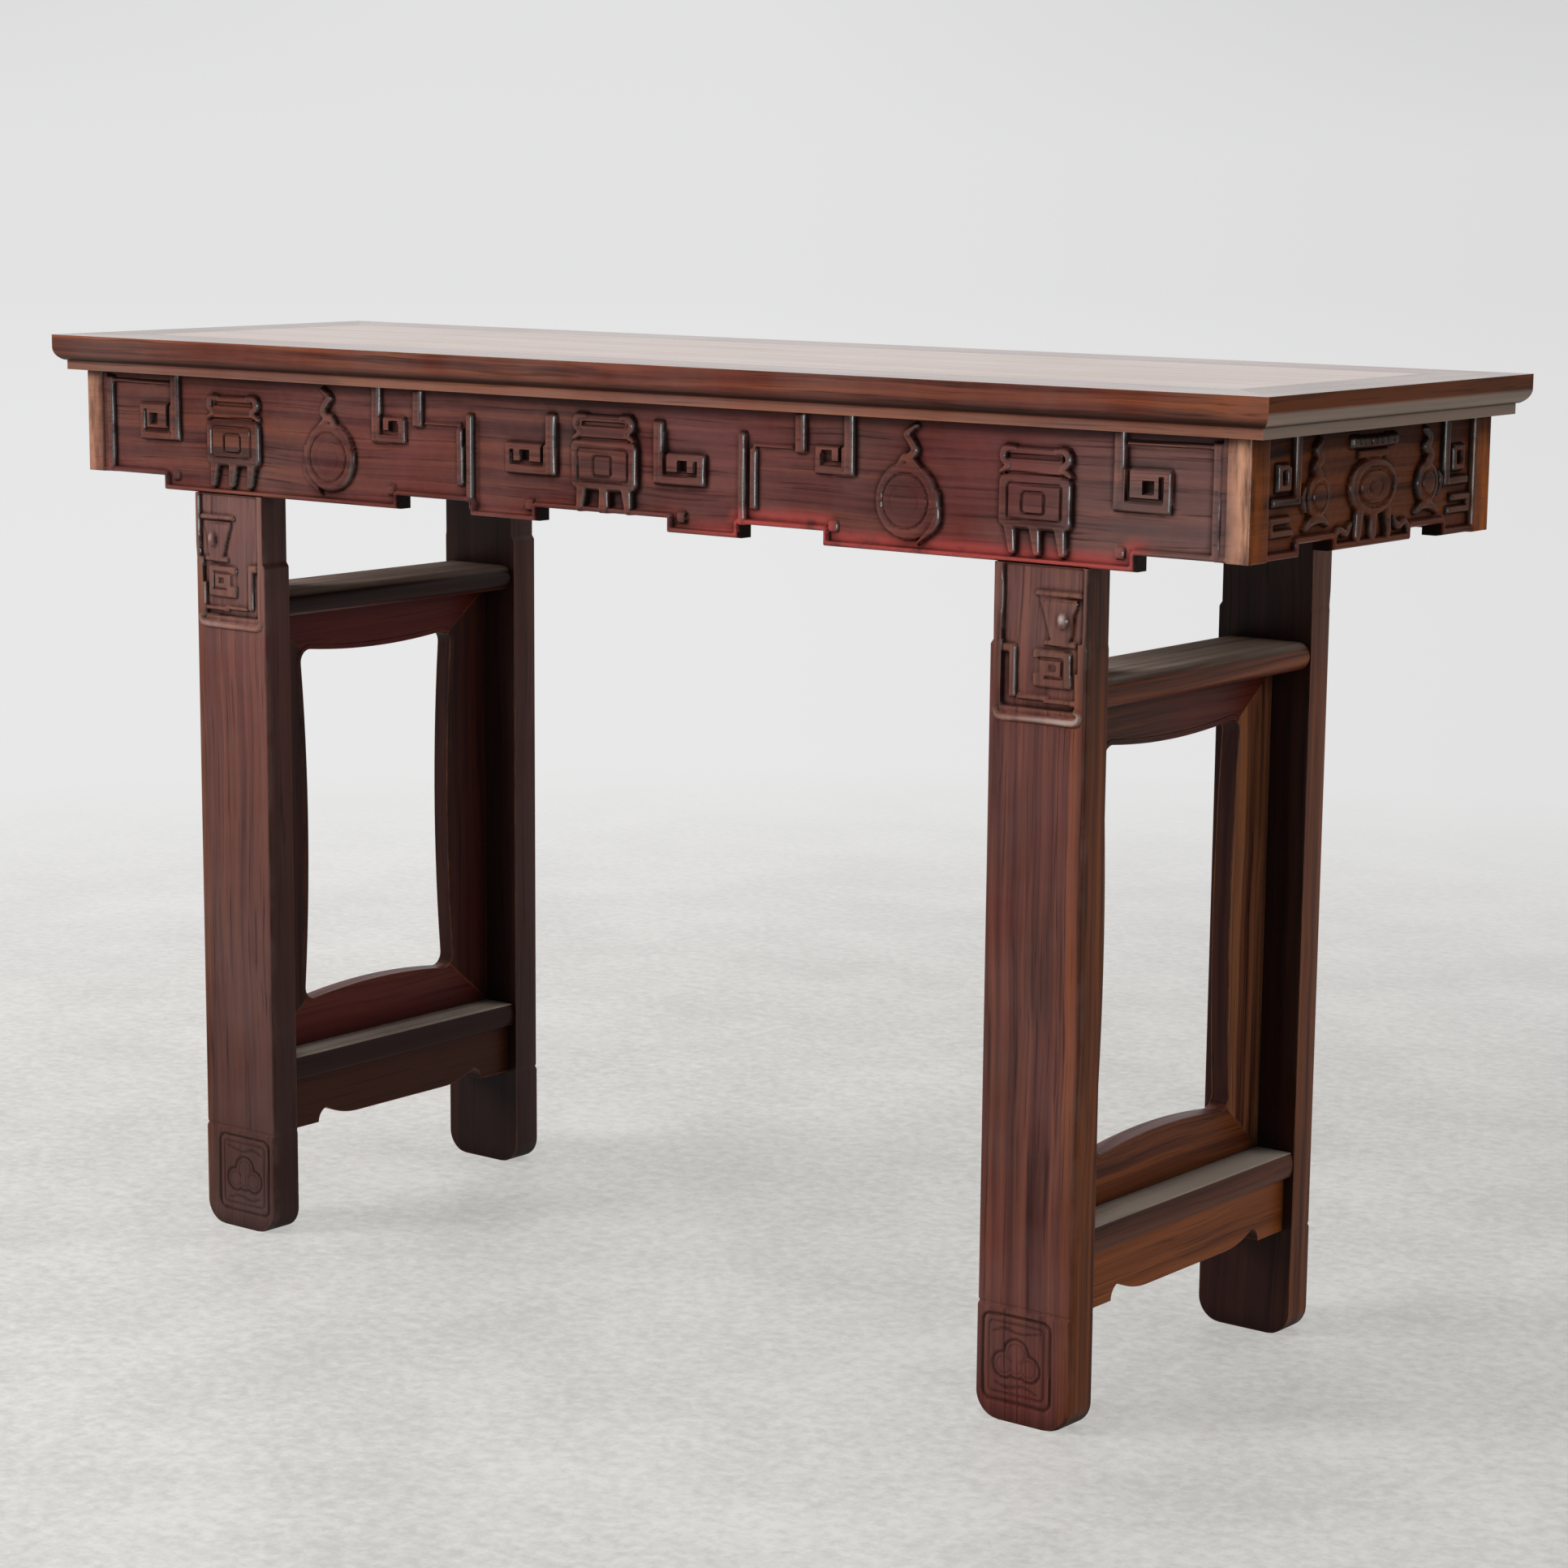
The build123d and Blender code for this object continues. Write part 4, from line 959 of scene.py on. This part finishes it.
def carve_aprons(context, axis, boards, front, outline, draw, overhang_shadow, fineness, strip_width):
    """Carve two opposite aprons. boards gives each one's node, side and seed."""
    carving, edges = context.scene.altar_carving, context.scene.altar_edges
    half, soffit = outline[0]
    lower = list(zip(outline[1:-2], outline[2:-1]))
    levels = {z for _, z in outline}
    fixed_u = {u for u, _ in outline} | {s * (half - c) for s in (-1, 1) for c in (1, 2, 3, 4)}
    fixed_z = levels | {z + 0.7 for z in levels if z < soffit}
    for node, side, seed in boards:
        def depth_of(u, z):
            rim = edge_distance(lower, u, z)
            d, painted = draw(u, z, rim, half, soffit, carving, seed)
            *shares, lacquer = board_surface(d, carving, edges.lip / MM, rim, half - np.abs(u),
                                             seed, overhang_shadow)
            return *shares, lacquer * painted

        place, back_place = apron_place(axis, side, front, half, edges.corner / MM)
        piece = carved_board(f"carved_{node}", outline, fixed_u, fixed_z,
                             fineness * carving.pitch / MM, depth_of, place, back_place,
                             "XYZ".index(axis), strip_width)
        stand_for(piece, node, axis)


class ALTAR_OT_long_aprons(bpy.types.Operator):
    """Carve the stepped front and back aprons."""

    bl_idname = "altar.long_aprons"
    bl_label = "Long aprons"

    def execute(self, context):
        low, high = millimetres("apron_front")
        outline = stepped_outline(high[0], (
            (high[0] - 104, 109), (241.0, 97), (152.0, 109), (74.0, 97)))
        carve_aprons(context, "X", (("apron_front", -1, 0.7), ("apron_back", 1, 2.6)), -low[1],
                     outline, draw_long_apron, (12.0, 0.7), 1.0, 23.0)
        return {"FINISHED"}


class ALTAR_OT_end_aprons(bpy.types.Operator):
    """Carve the aprons at the two ends."""

    bl_idname = "altar.end_aprons"
    bl_label = "End aprons"

    def execute(self, context):
        high = millimetres("apron_right")[1]
        outline = stepped_outline(high[1], ((113.0, 86), (62.0, 95)))
        carve_aprons(context, "Y", (("apron_left", -1, 0.3), ("apron_right", 1, 2.6)), high[0],
                     outline, draw_end_apron, (30.0, 0.9), 0.9, 29.0)
        return {"FINISHED"}


# ------------------------------------------------------------------ legs
class ALTAR_OT_legs(bpy.types.Operator):
    """Carve the four board legs."""

    bl_idname = "altar.legs"
    bl_label = "Legs"

    inner = 414.0             # from the middle of the table to the inner side of the shaft
    shaft = 89.0              # width of the shaft
    shaft_swell = (2.8, 0.6)  # extra width on its inner and outer side
    back = 157.0              # from the middle of the table to the back of the leg
    front = 188.5             # and to its face
    cheek = 171.75            # and to the face of the cheek behind the apron
    foot = 97.0               # heights
    foot_round = 22.0
    strap = (581.0, 589.0)
    head_foot = 646.0
    shoulder = 708.0
    tenon_top = 817.0
    boss = (66.0, 665.0)      # on the cup

    def head(self, u, z, carving, seed):
        """Relief under the apron. u runs from the inner side to the outer side."""
        d = Drawing(u, z, carving, carving.leg_relief / MM, seed)
        edge = np.where(d.z > 648, 84.0, np.where(d.z > 624, 80.0, 77.0))
        d.lift(-np.maximum(d.box((8.5, 100), (594, 720)), d.u - edge), 1.0, 2.0)
        d.bar([(3.5, 704), (3.5, 594)], 6, 2, 1.25, 3.0)
        goblet = [(61, 683), (61, 674), (62, 664), (63, 656), (63, 650)]
        cup = np.maximum(d.ribbon(goblet, [38, 31, 27, 24, 12]), d.z - 683)
        d.lift(cup, 0.9, 5.0)
        d.line(cup, 0.9, 0.7)
        d.bar([(41, 685.5), (81, 685.5)], 5, 2, 1.05)
        d.groove([(45, 680.5), (77, 680.5)], 1.8, 1.1)
        d.lift(d.ring(*self.boss, 9.0, 0.75), 2.0, 8.0)
        d.bar([(50, 646.5), (76, 646.5)], 5, 2, 0.9)
        d.lift(d.box((37, 74), (611, 641), 3), 0.85)
        d.cut(d.box((36, 44), (622, 634)), 2.0, 1.2)
        d.groove([(44, 634), (66, 634), (66, 619), (50, 619)], 2.6, 1.7)
        d.cut(d.box((53, 60), (624, 630)), 1.7, 1.2)
        d.bar([(12, 640), (18, 640), (18, 604)], 7, 2, 1.0, 3.2)
        d.bar([(24, 602), (50, 602), (50, 600), (78, 600)], 4.5, top=0.7, crown=2.0)
        return d

    def foot_marks(self, u, z, carving, seed):
        """Bordered panel with a three-lobed cloud, cut into the face of the foot."""
        d = Drawing(u, z, carving, 1.0, seed)
        d.line(d.box((4, 70), (17, 90), 7), 1.4, 1.3)
        d.line(d.box((10, 64), (24, 84), 4), 1.0, 0.8)
        lobes = ((25, 48, 11), (49, 48, 11), (37, 59, 12), (37, 48, 10))
        cloud = np.minimum.reduce([d.ring(*lobe) for lobe in lobes])
        d.line(cloud, 1.5, 1.0, 1.4)
        d.line(cloud + 4, 0.9, 0.5)
        for wisp in ([(14, 75), (26, 79), (40, 76), (60, 80)],
                     [(16, 32), (28, 29), (44, 32), (58, 28)]):
            d.cut(d.ribbon(wisp, [2, 3.5, 3, 2], 4), 0.7)
        return d.height

    def strap_band(self, u, z, carving, seed):
        """Distance to the rounded strap with a curl at its outer end."""
        d = Drawing(u, z, carving, 1.0, seed)
        middle = sum(self.strap) / 2
        return np.minimum(
            d.ribbon(at(0, middle, (3, 5), (8, 0), (30, 0), (72, 0)), [5, 7, 7, 8]),
            d.ribbon(at(0, middle, (70, 0), (80, 1), (83, 6), (78, 9)), [8, 8, 6, 4]))

    def face(self, u, z, carving, seed):
        """Depth and masks of the leg's face."""
        d = self.head(u, z, carving, seed)
        height = d.finish(carving, seed)
        ridge, hollow = relief_masks(height, d.relief, 3)
        carved = (np.clip((z - self.strap[1] - 1) / 2, 0, 1)
                  * np.clip((self.shoulder - z) / 2, 0, 1))
        low = np.clip((self.foot - 3 - z) / 1.5, 0, 1)
        marks = self.foot_marks(u, z, carving, seed)
        depth = (d.relief - height) * carved - marks * low
        band = self.strap_band(u, z, carving, seed)
        raised = np.sqrt(1 - (1 - np.clip(-band / 3.5, 0, 1)) ** 2)
        shadow = 0.5 * np.exp(-(np.clip(band, 0, None) / 1.5) ** 2)
        wave = 0.22 * np.sin(z / 60.0 + seed) * np.sin(u / 22.0 + seed)
        side = np.clip(np.minimum(u, self.shaft - u) / 4.0, 0, 1)
        depth = (depth + wave + 0.25 + np.where(raised > 0, 0, shadow)) * side - 2.3 * raised
        ridge = np.maximum(ridge * carved, raised)
        hollow = np.maximum(hollow * carved, np.clip(-marks, 0, 1) * low * 0.7)
        # painted highlights: a pale line along the strap's crest, stronger outwards, and a pale
        # spot on the boss of the cup; they go into the bare mask
        painted_highlight = np.clip((raised - 0.85) * 7, 0, 1) * np.clip(0.2 + u / 90.0, 0, 1) * 0.45
        glint = np.hypot((u - self.boss[0] - 1) / 0.75, z - self.boss[1] - 2) / 5.0
        return depth, ridge, hollow, np.maximum(painted_highlight, 0.8 * np.clip(1 - glint, 0, 1))

    def swells(self, z):
        """How far the inner side, the outer side and the face stand beyond the shaft."""
        block = np.clip((self.foot - z) / 2.0, 0, 1)
        groove = np.exp(-((z - self.foot - 1.0) / 1.2) ** 2)
        reach = self.foot_round
        dip = reach - np.sqrt(np.clip(reach ** 2 - np.clip(reach - z, 0, None) ** 2, 0, None))
        inner, outer = (swell * np.clip((self.head_foot - z) / 4.0, 0, 1)
                        for swell in self.shaft_swell)
        return inner + 0.3 * block - 0.4 * groove - dip, outer - 0.2 * groove - dip, (
            1.3 * block - 0.9 * groove)

    def arris(self, z, worn, at_foot):
        """Radius of the rounded long edge at a height."""
        r = np.where(z > 660, 1.2, np.where(z > 640, 1.2 + (660 - z) / 20 * (worn - 1.2), worn))
        return np.where(z < self.foot, at_foot, r)

    def rows(self, pitch):
        """Heights of the rows of points, up to the shoulder."""
        curve = [self.foot_round * (1 - math.cos(math.radians(a))) for a in range(0, 91, 15)]
        rows = []
        for fixed, step in ((curve, 2.0),
                            ((self.foot_round, 96.0, 97.2, 98.5, 100.0, 102.0), pitch),
                            ((102.0, 575.0), 6.0),
                            ((575.0, *self.strap, 593.0, 642.0, self.head_foot, 706.0,
                              self.shoulder), pitch)):
            rows += lines_between(fixed, step)[1 if rows else 0:].tolist()
        return np.array(rows)

    def columns(self, z, pitch, carving, seed, highlight_share):
        """Columns of points round the leg, from the back of its inner side to that of its outer
        side. Each gives a place across, a place outwards and the masks at every row."""
        inner_swell, outer_swell, swell = self.swells(z)
        inner_r, outer_r = self.arris(z, 1.6, 2.5), self.arris(z, 3.5, 4.0)
        inner, outer = -inner_swell, self.shaft + outer_swell
        front = self.front + swell
        plain = [np.zeros_like(z)] * 3
        rounded = [np.full_like(z, 0.1)] + plain[1:]
        arc = np.radians(np.linspace(0, 90, 8))[:-1]

        def flank(side, radius, shares):
            return [(side, self.back + (front - radius - self.back) * share, *plain)
                    for share in shares]

        def edge(side, radius, angles):
            return [(side + radius * (1 - math.cos(a)),
                     front - np.abs(radius) * (1 - math.sin(a)), *rounded) for a in angles]

        shares = lines_between([0.0, self.shaft], pitch) / self.shaft
        fade = np.clip(np.minimum(shares, 1 - shares) * self.shaft / 2.0, 0, 1)
        start, end = inner + inner_r, outer - outer_r
        u = start[:, None] + (end - start)[:, None] * shares[None, :]
        depth, *masks = self.face(u, np.repeat(z[:, None], len(shares), axis=1), carving, seed)
        # the painted highlights are weaker on the left legs
        masks[2] *= highlight_share
        face = [(u[:, k], front - depth[:, k] * fade[k], *(mask[:, k] for mask in masks))
                for k in range(len(shares))]
        return (flank(inner, inner_r, (0.0, 0.5)) + edge(inner, inner_r, arc) + face
                + edge(outer, -outer_r, arc[::-1]) + flank(outer, outer_r, (0.5, 0.0)))

    def execute(self, context):
        carving = context.scene.altar_carving
        pitch = carving.pitch / MM
        for i, node in enumerate(nodes_named("leg_")):
            right, far = (1 if edge > 0 else -1 for edge in millimetres(node)[1][:2])
            z = self.rows(pitch)
            columns = self.columns(z, pitch, carving, 0.9 * i, 1.0 if right > 0 else 0.4)
            count = len(columns)
            layers = [np.stack(values, axis=1) for values in zip(*columns)]
            layers.append(np.repeat(z[:, None], count, axis=1))
            top_u = np.clip(layers[0][-1], 0, self.shaft)
            top_y = np.minimum(layers[1][-1], self.cheek)
            for level in (self.shoulder, self.tenon_top):
                ends = (top_u, top_y, 0.0, 0.5, 0.0, level)
                layers = [np.vstack([layer, np.broadcast_to(end, (1, count))])
                          for layer, end in zip(layers, ends)]
            u, y, ridge, hollow, painted_highlight, z = (layer.ravel() for layer in layers)
            points = np.stack([right * (self.inner + u), far * y, z], axis=1)
            last = len(points) - count
            faces = [(r + c, r + (c + 1) % count, r + count + (c + 1) % count, r + count + c)
                     for r in range(0, last, count) for c in range(count)]
            faces += [list(range(count)), list(range(last, last + count))]
            piece = make_piece(f"carved_{node}", points, faces,
                               {"ridge": ridge, "hollow": hollow, "bare": painted_highlight}, sharp=42.0)
            stand_for(piece, node, "Z")
        return {"FINISHED"}


# ------------------------------------------------------------------ plain pieces
def dress_all(start, material, bevel=None):
    """Dress the CAD nodes whose names begin with a word."""
    for node in nodes_named(start):
        dress(node, material, bevel)


class ALTAR_OT_top_frame(bpy.types.Operator):
    """Finish the mitred frame of the top."""

    bl_idname = "altar.top_frame"
    bl_label = "Top frame"

    def execute(self, context):
        finish = context.scene.altar_finish
        # sheen is painted sheen on the round under the top's edge, strongest on the ends; the dark
        # line at the quirk is painted shadow
        long_side = {"red": 0.22, "film": 0.05, "edge": 0.75, "sheen": 0.05}
        end_side = {"red": 0.0, "film": 0.0, "edge": 0.3, "sheen": 0.27, "sheen_top": 0.013,
                    "shadow_reach": 0.003, "bared": finish.end_frame, "ior": 1.12}
        for grain, start, body, side in (("X", "top_rail_", finish.frame, long_side),
                                         ("Y", "top_end_", finish.end_frame, end_side)):
            dress_all(start, wood(
                f"Frame hardwood along {grain}", grain, body, finish.frame_dark, finish.worn,
                amber=0.6, coat=1.0, dirt_line=context.scene.altar_edges.quirk, **side))
        return {"FINISHED"}


class ALTAR_OT_panel(bpy.types.Operator):
    """Finish the boards of the top and the battens under them."""

    bl_idname = "altar.panel"
    bl_label = "Panel and battens"

    def execute(self, context):
        finish = context.scene.altar_finish
        dress_all("top_board_", wood(
            "Panel boards", "X", finish.panel, finish.panel_dark, finish.worn, red=0.15,
            edge=0.3, coat=1.0, gloss=(0.26, 0.4)), THIN_ARRIS)
        dress_all("top_batten_", wood(
            "Battens", "Y", finish.batten, finish.batten_dark, finish.worn, red=0.05, edge=0.4,
            gloss=(0.6, 0.75)))
        return {"FINISHED"}


class ALTAR_OT_rails(bpy.types.Operator):
    """Finish the rails of the end frames."""

    bl_idname = "altar.rails"
    bl_label = "Rails"

    def execute(self, context):
        finish = context.scene.altar_finish
        # the heavy dust on the rails' tops also stands in for their pale reflection at a low angle
        # (painted reflection); their near-black inward sides are painted shade
        for start, bared, dust in (("upper_rail_", finish.amber, 0.75),
                                   ("lower_rail_", finish.end_apron, 1.1)):
            dress_all(start, wood(
                f"Rail hardwood {start}", "Y", finish.body, finish.dark, finish.worn, amber=0.5,
                dust=dust, inner=(finish.grime, 0.88), film=0.0, bared=bared))
        return {"FINISHED"}


class ALTAR_OT_inner_frames(bpy.types.Operator):
    """Finish the curved inner frames."""

    bl_idname = "altar.inner_frames"
    bl_label = "Inner frames"

    def execute(self, context):
        finish = context.scene.altar_finish
        # darker copy of the hardwood for the top pieces of the inner frames: painted shade
        shaded = wood("Shaded hardwood", "Y", finish.dark, finish.grime, finish.worn,
                      inner=(finish.inside, 0.6), faded=0.12, film=0.0)
        for start, material in (("inner_top", shaded), ("inner_bottom", hardwood("Y")),
                                ("inner_front", hardwood("Z")), ("inner_back", hardwood("Z"))):
            dress_all(start, material, SMALL_ARRIS)
        return {"FINISHED"}


class ALTAR_OT_lower_aprons(bpy.types.Operator):
    """Finish the shaped boards under the lower rails."""

    bl_idname = "altar.lower_aprons"
    bl_label = "Lower aprons"

    def execute(self, context):
        finish = context.scene.altar_finish
        # the dark inward sides are painted shade
        dress_all("lower_apron_", wood(
            "Warm hardwood", "Y", finish.amber, finish.end_frame, finish.worn, red=0.2,
            amber=0.6, inner=(finish.dark, 0.85), film=0.0, bared=finish.warm))
        return {"FINISHED"}


# ------------------------------------------------------------------ stage
class ALTAR_OT_stage(bpy.types.Operator):
    """Set up the floor, the backdrop, the lamps and the camera."""

    bl_idname = "altar.stage"
    bl_label = "Stage"

    rightwards = (0.78, 0.627, 0.0)  # level way to the camera's right
    stand_off = 3.4                  # metres from the camera to the table
    lamps = (("Key lamp", "key", 3.0, (-4.4, -4.8, 3.2), (0.0, 0.0, 0.5)),
             ("Top lamp", "top", 3.0, (0.3, -0.2, 4.2), (0.0, 0.0, 0.0)),
             ("Edge lamp", "side", 0.7, (3.6, -2.5, 0.5), (0.0, -0.2, 0.6)))
    camera_place = (2.15866, -2.68974, 1.02961)
    camera_turn = (38.811, 10.633, 0.336)  # pan, tilt and roll, in degrees
    lens, sensor = 88.153, 36.0            # in millimetres
    shift = (0.0342, 0.0538)               # of the frame, in sensor widths

    def execute(self, context):
        scene = context.scene
        self.make_floor(scene)
        self.make_backdrop(scene)
        self.make_lamps(scene)
        self.make_camera(scene)
        scene.view_settings.view_transform = "Standard"
        return {"FINISHED"}

    def blend(self, nodes, output, lit, shown, *shares):
        """Show one shader to camera, mirror and see-through rays, and light with the other."""
        path = nodes.add("ShaderNodeLightPath").outputs
        seen = nodes.math("MAXIMUM", path["Is Camera Ray"], path["Is Glossy Ray"])
        seen = nodes.math("MAXIMUM", seen, path["Is Transmission Ray"])
        mixed = nodes.add("ShaderNodeMixShader", {
            0: nodes.times(seen, *shares), 1: lit.outputs[0], 2: shown.outputs[0]})
        nodes.feed(nodes.tree.nodes[output].inputs["Surface"], mixed.outputs[0])

    def make_floor(self, scene):
        """Round floor of pale mottled concrete, which fades into the backdrop far away."""
        stage = scene.altar_stage
        mesh = bpy.data.meshes.new("floor")
        solid = bmesh.new()
        bmesh.ops.create_circle(solid, cap_ends=True, radius=40.0, segments=96)
        solid.to_mesh(mesh)
        solid.free()
        floor = bpy.data.objects.new("floor", mesh)
        scene.collection.objects.link(floor)
        material = bpy.data.materials.new("Concrete floor")
        material.use_nodes = True
        mesh.materials.append(material)
        nodes = Nodes(material.node_tree)
        surface = material.node_tree.nodes["Principled BSDF"]
        place = nodes.place()
        mottle = nodes.plus(nodes.times(nodes.noise(place, 5.0, 6.0, 0.6), 0.4),
                            nodes.noise(place, 75.0, 4.0, 0.7), 0.6)
        colour = nodes.mix(nodes.ramp(mottle, 0.4, 0.6), [c * 0.86 for c in stage.floor],
                           [min(1.0, c * 1.08) for c in stage.floor])
        across = nodes.vector("DOT_PRODUCT", place, self.rightwards)
        reach = nodes.vector("LENGTH", place)
        # floor darker towards the right: painted shadow of the table
        colour = nodes.mix(nodes.ramp(across, -0.5, 0.4, 0.0, 0.08), colour, BLACK)
        nodes.feed(surface.inputs["Base Color"], colour)
        nodes.feed(surface.inputs["Roughness"], 0.42)
        nodes.feed(surface.inputs["IOR"], 1.4)
        aside = nodes.math("DIVIDE", across, nodes.plus(self.stand_off, reach))
        # the last layer darkens the glow shown to the camera towards the right: painted shadow
        for share, layer in ((nodes.ramp(reach, 0.8, 3.0), stage.bright),
                             (nodes.ramp(reach, 5.0, 25.0), stage.backdrop),
                             (nodes.ramp(aside, 0.0, 0.2, 0.0, 0.06), BLACK)):
            colour = nodes.mix(share, colour, layer)
        glow = nodes.add("ShaderNodeEmission", {"Color": colour, "Strength": 1.0})
        far = nodes.ramp(reach, 0.9, 2.6, curve="SMOOTHSTEP")
        self.blend(nodes, "Material Output", surface, glow, nodes.plus(0.64, far, 0.36))

    def make_backdrop(self, scene):
        """Even light of the room, and the pale backdrop that is seen instead of it."""
        stage = scene.altar_stage
        world = bpy.data.worlds.new("Backdrop")
        world.use_nodes = True
        scene.world = world
        nodes = Nodes(world.node_tree)
        light = world.node_tree.nodes["Background"]
        nodes.feed(light.inputs["Color"], WHITE)
        nodes.feed(light.inputs["Strength"], stage.ambient)
        towards = nodes.add("ShaderNodeTexCoord").outputs["Generated"]
        way = nodes.axes(towards)
        across = nodes.vector("DOT_PRODUCT", towards, self.rightwards)
        aside = nodes.math("ABSOLUTE", nodes.plus(0.03, across))
        glossy = nodes.add("ShaderNodeLightPath").outputs["Is Glossy Ray"]
        # the backdrop seen by the camera dims towards its sides and to the right: painted shade
        fall = nodes.plus(nodes.times(nodes.ramp(aside, 0.05, 0.21, 0.0, 0.09),
                                      nodes.ramp(way["Z"], 0.0, 0.06)),
                          nodes.ramp(across, 0.0, 0.2, 0.0, 0.06))
        held = nodes.math("MAXIMUM", nodes.rest(glossy), nodes.ramp(way["Z"], 0.12, 0.09))
        dimmed = nodes.plus(nodes.times(nodes.ramp(way["Y"], -0.5, 0.3, 0.5, 0.0), glossy),
                            nodes.times(fall, held))
        colour = nodes.mix(nodes.ramp(way["Z"], 0.0, 0.09), stage.backdrop, stage.upper)
        mirrored = nodes.times(nodes.ramp(way["Z"], 0.09, 0.15), glossy)
        seen = nodes.add("ShaderNodeBackground", {
            "Color": nodes.mix(mirrored, colour, OVERHEAD), "Strength": nodes.rest(dimmed)})
        self.blend(nodes, "World Output", light, seen)

    def make_lamps(self, scene):
        """Soft round lamps, of which only the edge lamp shows in the polished faces."""
        for name, setting, size, place, aim in self.lamps:
            lamp = bpy.data.lights.new(name, "AREA")
            lamp.shape = "DISK"
            lamp.size = size
            lamp.energy = getattr(scene.altar_stage, setting)
            lamp_object = bpy.data.objects.new(name, lamp)
            lamp_object.location = place
            lamp_object.visible_glossy = setting == "side"
            towards = Vector(aim) - Vector(place)
            lamp_object.rotation_euler = towards.to_track_quat("-Z", "Y").to_euler()
            scene.collection.objects.link(lamp_object)

    def make_camera(self, scene):
        """Camera in front of the right end of the table, a little above its top."""
        pan, tilt, roll = (math.radians(a) for a in self.camera_turn)
        forward = np.array((-math.sin(pan) * math.cos(tilt), math.cos(pan) * math.cos(tilt),
                            -math.sin(tilt)))
        level = np.array((math.cos(pan), math.sin(pan), 0.0))
        upright = np.cross(level, forward)
        right = math.cos(roll) * level + math.sin(roll) * upright
        up = -math.sin(roll) * level + math.cos(roll) * upright
        data = bpy.data.cameras.new("Camera")
        data.lens = self.lens
        data.sensor_width = self.sensor
        data.shift_x, data.shift_y = self.shift
        camera = bpy.data.objects.new("Camera", data)
        turned = Matrix(np.array((right, up, -forward)).T.tolist()).to_4x4()
        turned.translation = self.camera_place
        camera.matrix_world = turned
        scene.collection.objects.link(camera)
        scene.camera = camera


# ------------------------------------------------------------------ sidebar
OPERATORS = (ALTAR_OT_top_frame, ALTAR_OT_panel, ALTAR_OT_long_aprons, ALTAR_OT_end_aprons,
             ALTAR_OT_legs, ALTAR_OT_rails, ALTAR_OT_inner_frames, ALTAR_OT_lower_aprons,
             ALTAR_OT_stage)


class ALTAR_PT_sidebar(bpy.types.Panel):
    """Sidebar panel that lists the steps of the altar table."""

    bl_idname = "ALTAR_PT_sidebar"
    bl_label = "Altar Table"
    bl_space_type = "VIEW_3D"
    bl_region_type = "UI"
    bl_category = "Altar Table"

    def draw(self, context):
        for operator in OPERATORS:
            self.layout.operator(operator.bl_idname)
        for name, group in SETTINGS.items():
            box = self.layout.box()
            for setting in group.__annotations__:
                box.prop(getattr(context.scene, name), setting)


def register():
    for group in SETTINGS.values():
        bpy.utils.register_class(group)
    for name, group in SETTINGS.items():
        setattr(bpy.types.Scene, name, bpy.props.PointerProperty(type=group))
    for operator in OPERATORS:
        bpy.utils.register_class(operator)
    bpy.utils.register_class(ALTAR_PT_sidebar)


def unregister():
    bpy.utils.unregister_class(ALTAR_PT_sidebar)
    for operator in reversed(OPERATORS):
        bpy.utils.unregister_class(operator)
    for name, group in SETTINGS.items():
        delattr(bpy.types.Scene, name)
        bpy.utils.unregister_class(group)


def main():
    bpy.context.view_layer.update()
    register()
    for operator in OPERATORS:
        family, name = operator.bl_idname.split(".")
        getattr(getattr(bpy.ops, family), name)()


if __name__ == "__main__":
    main()
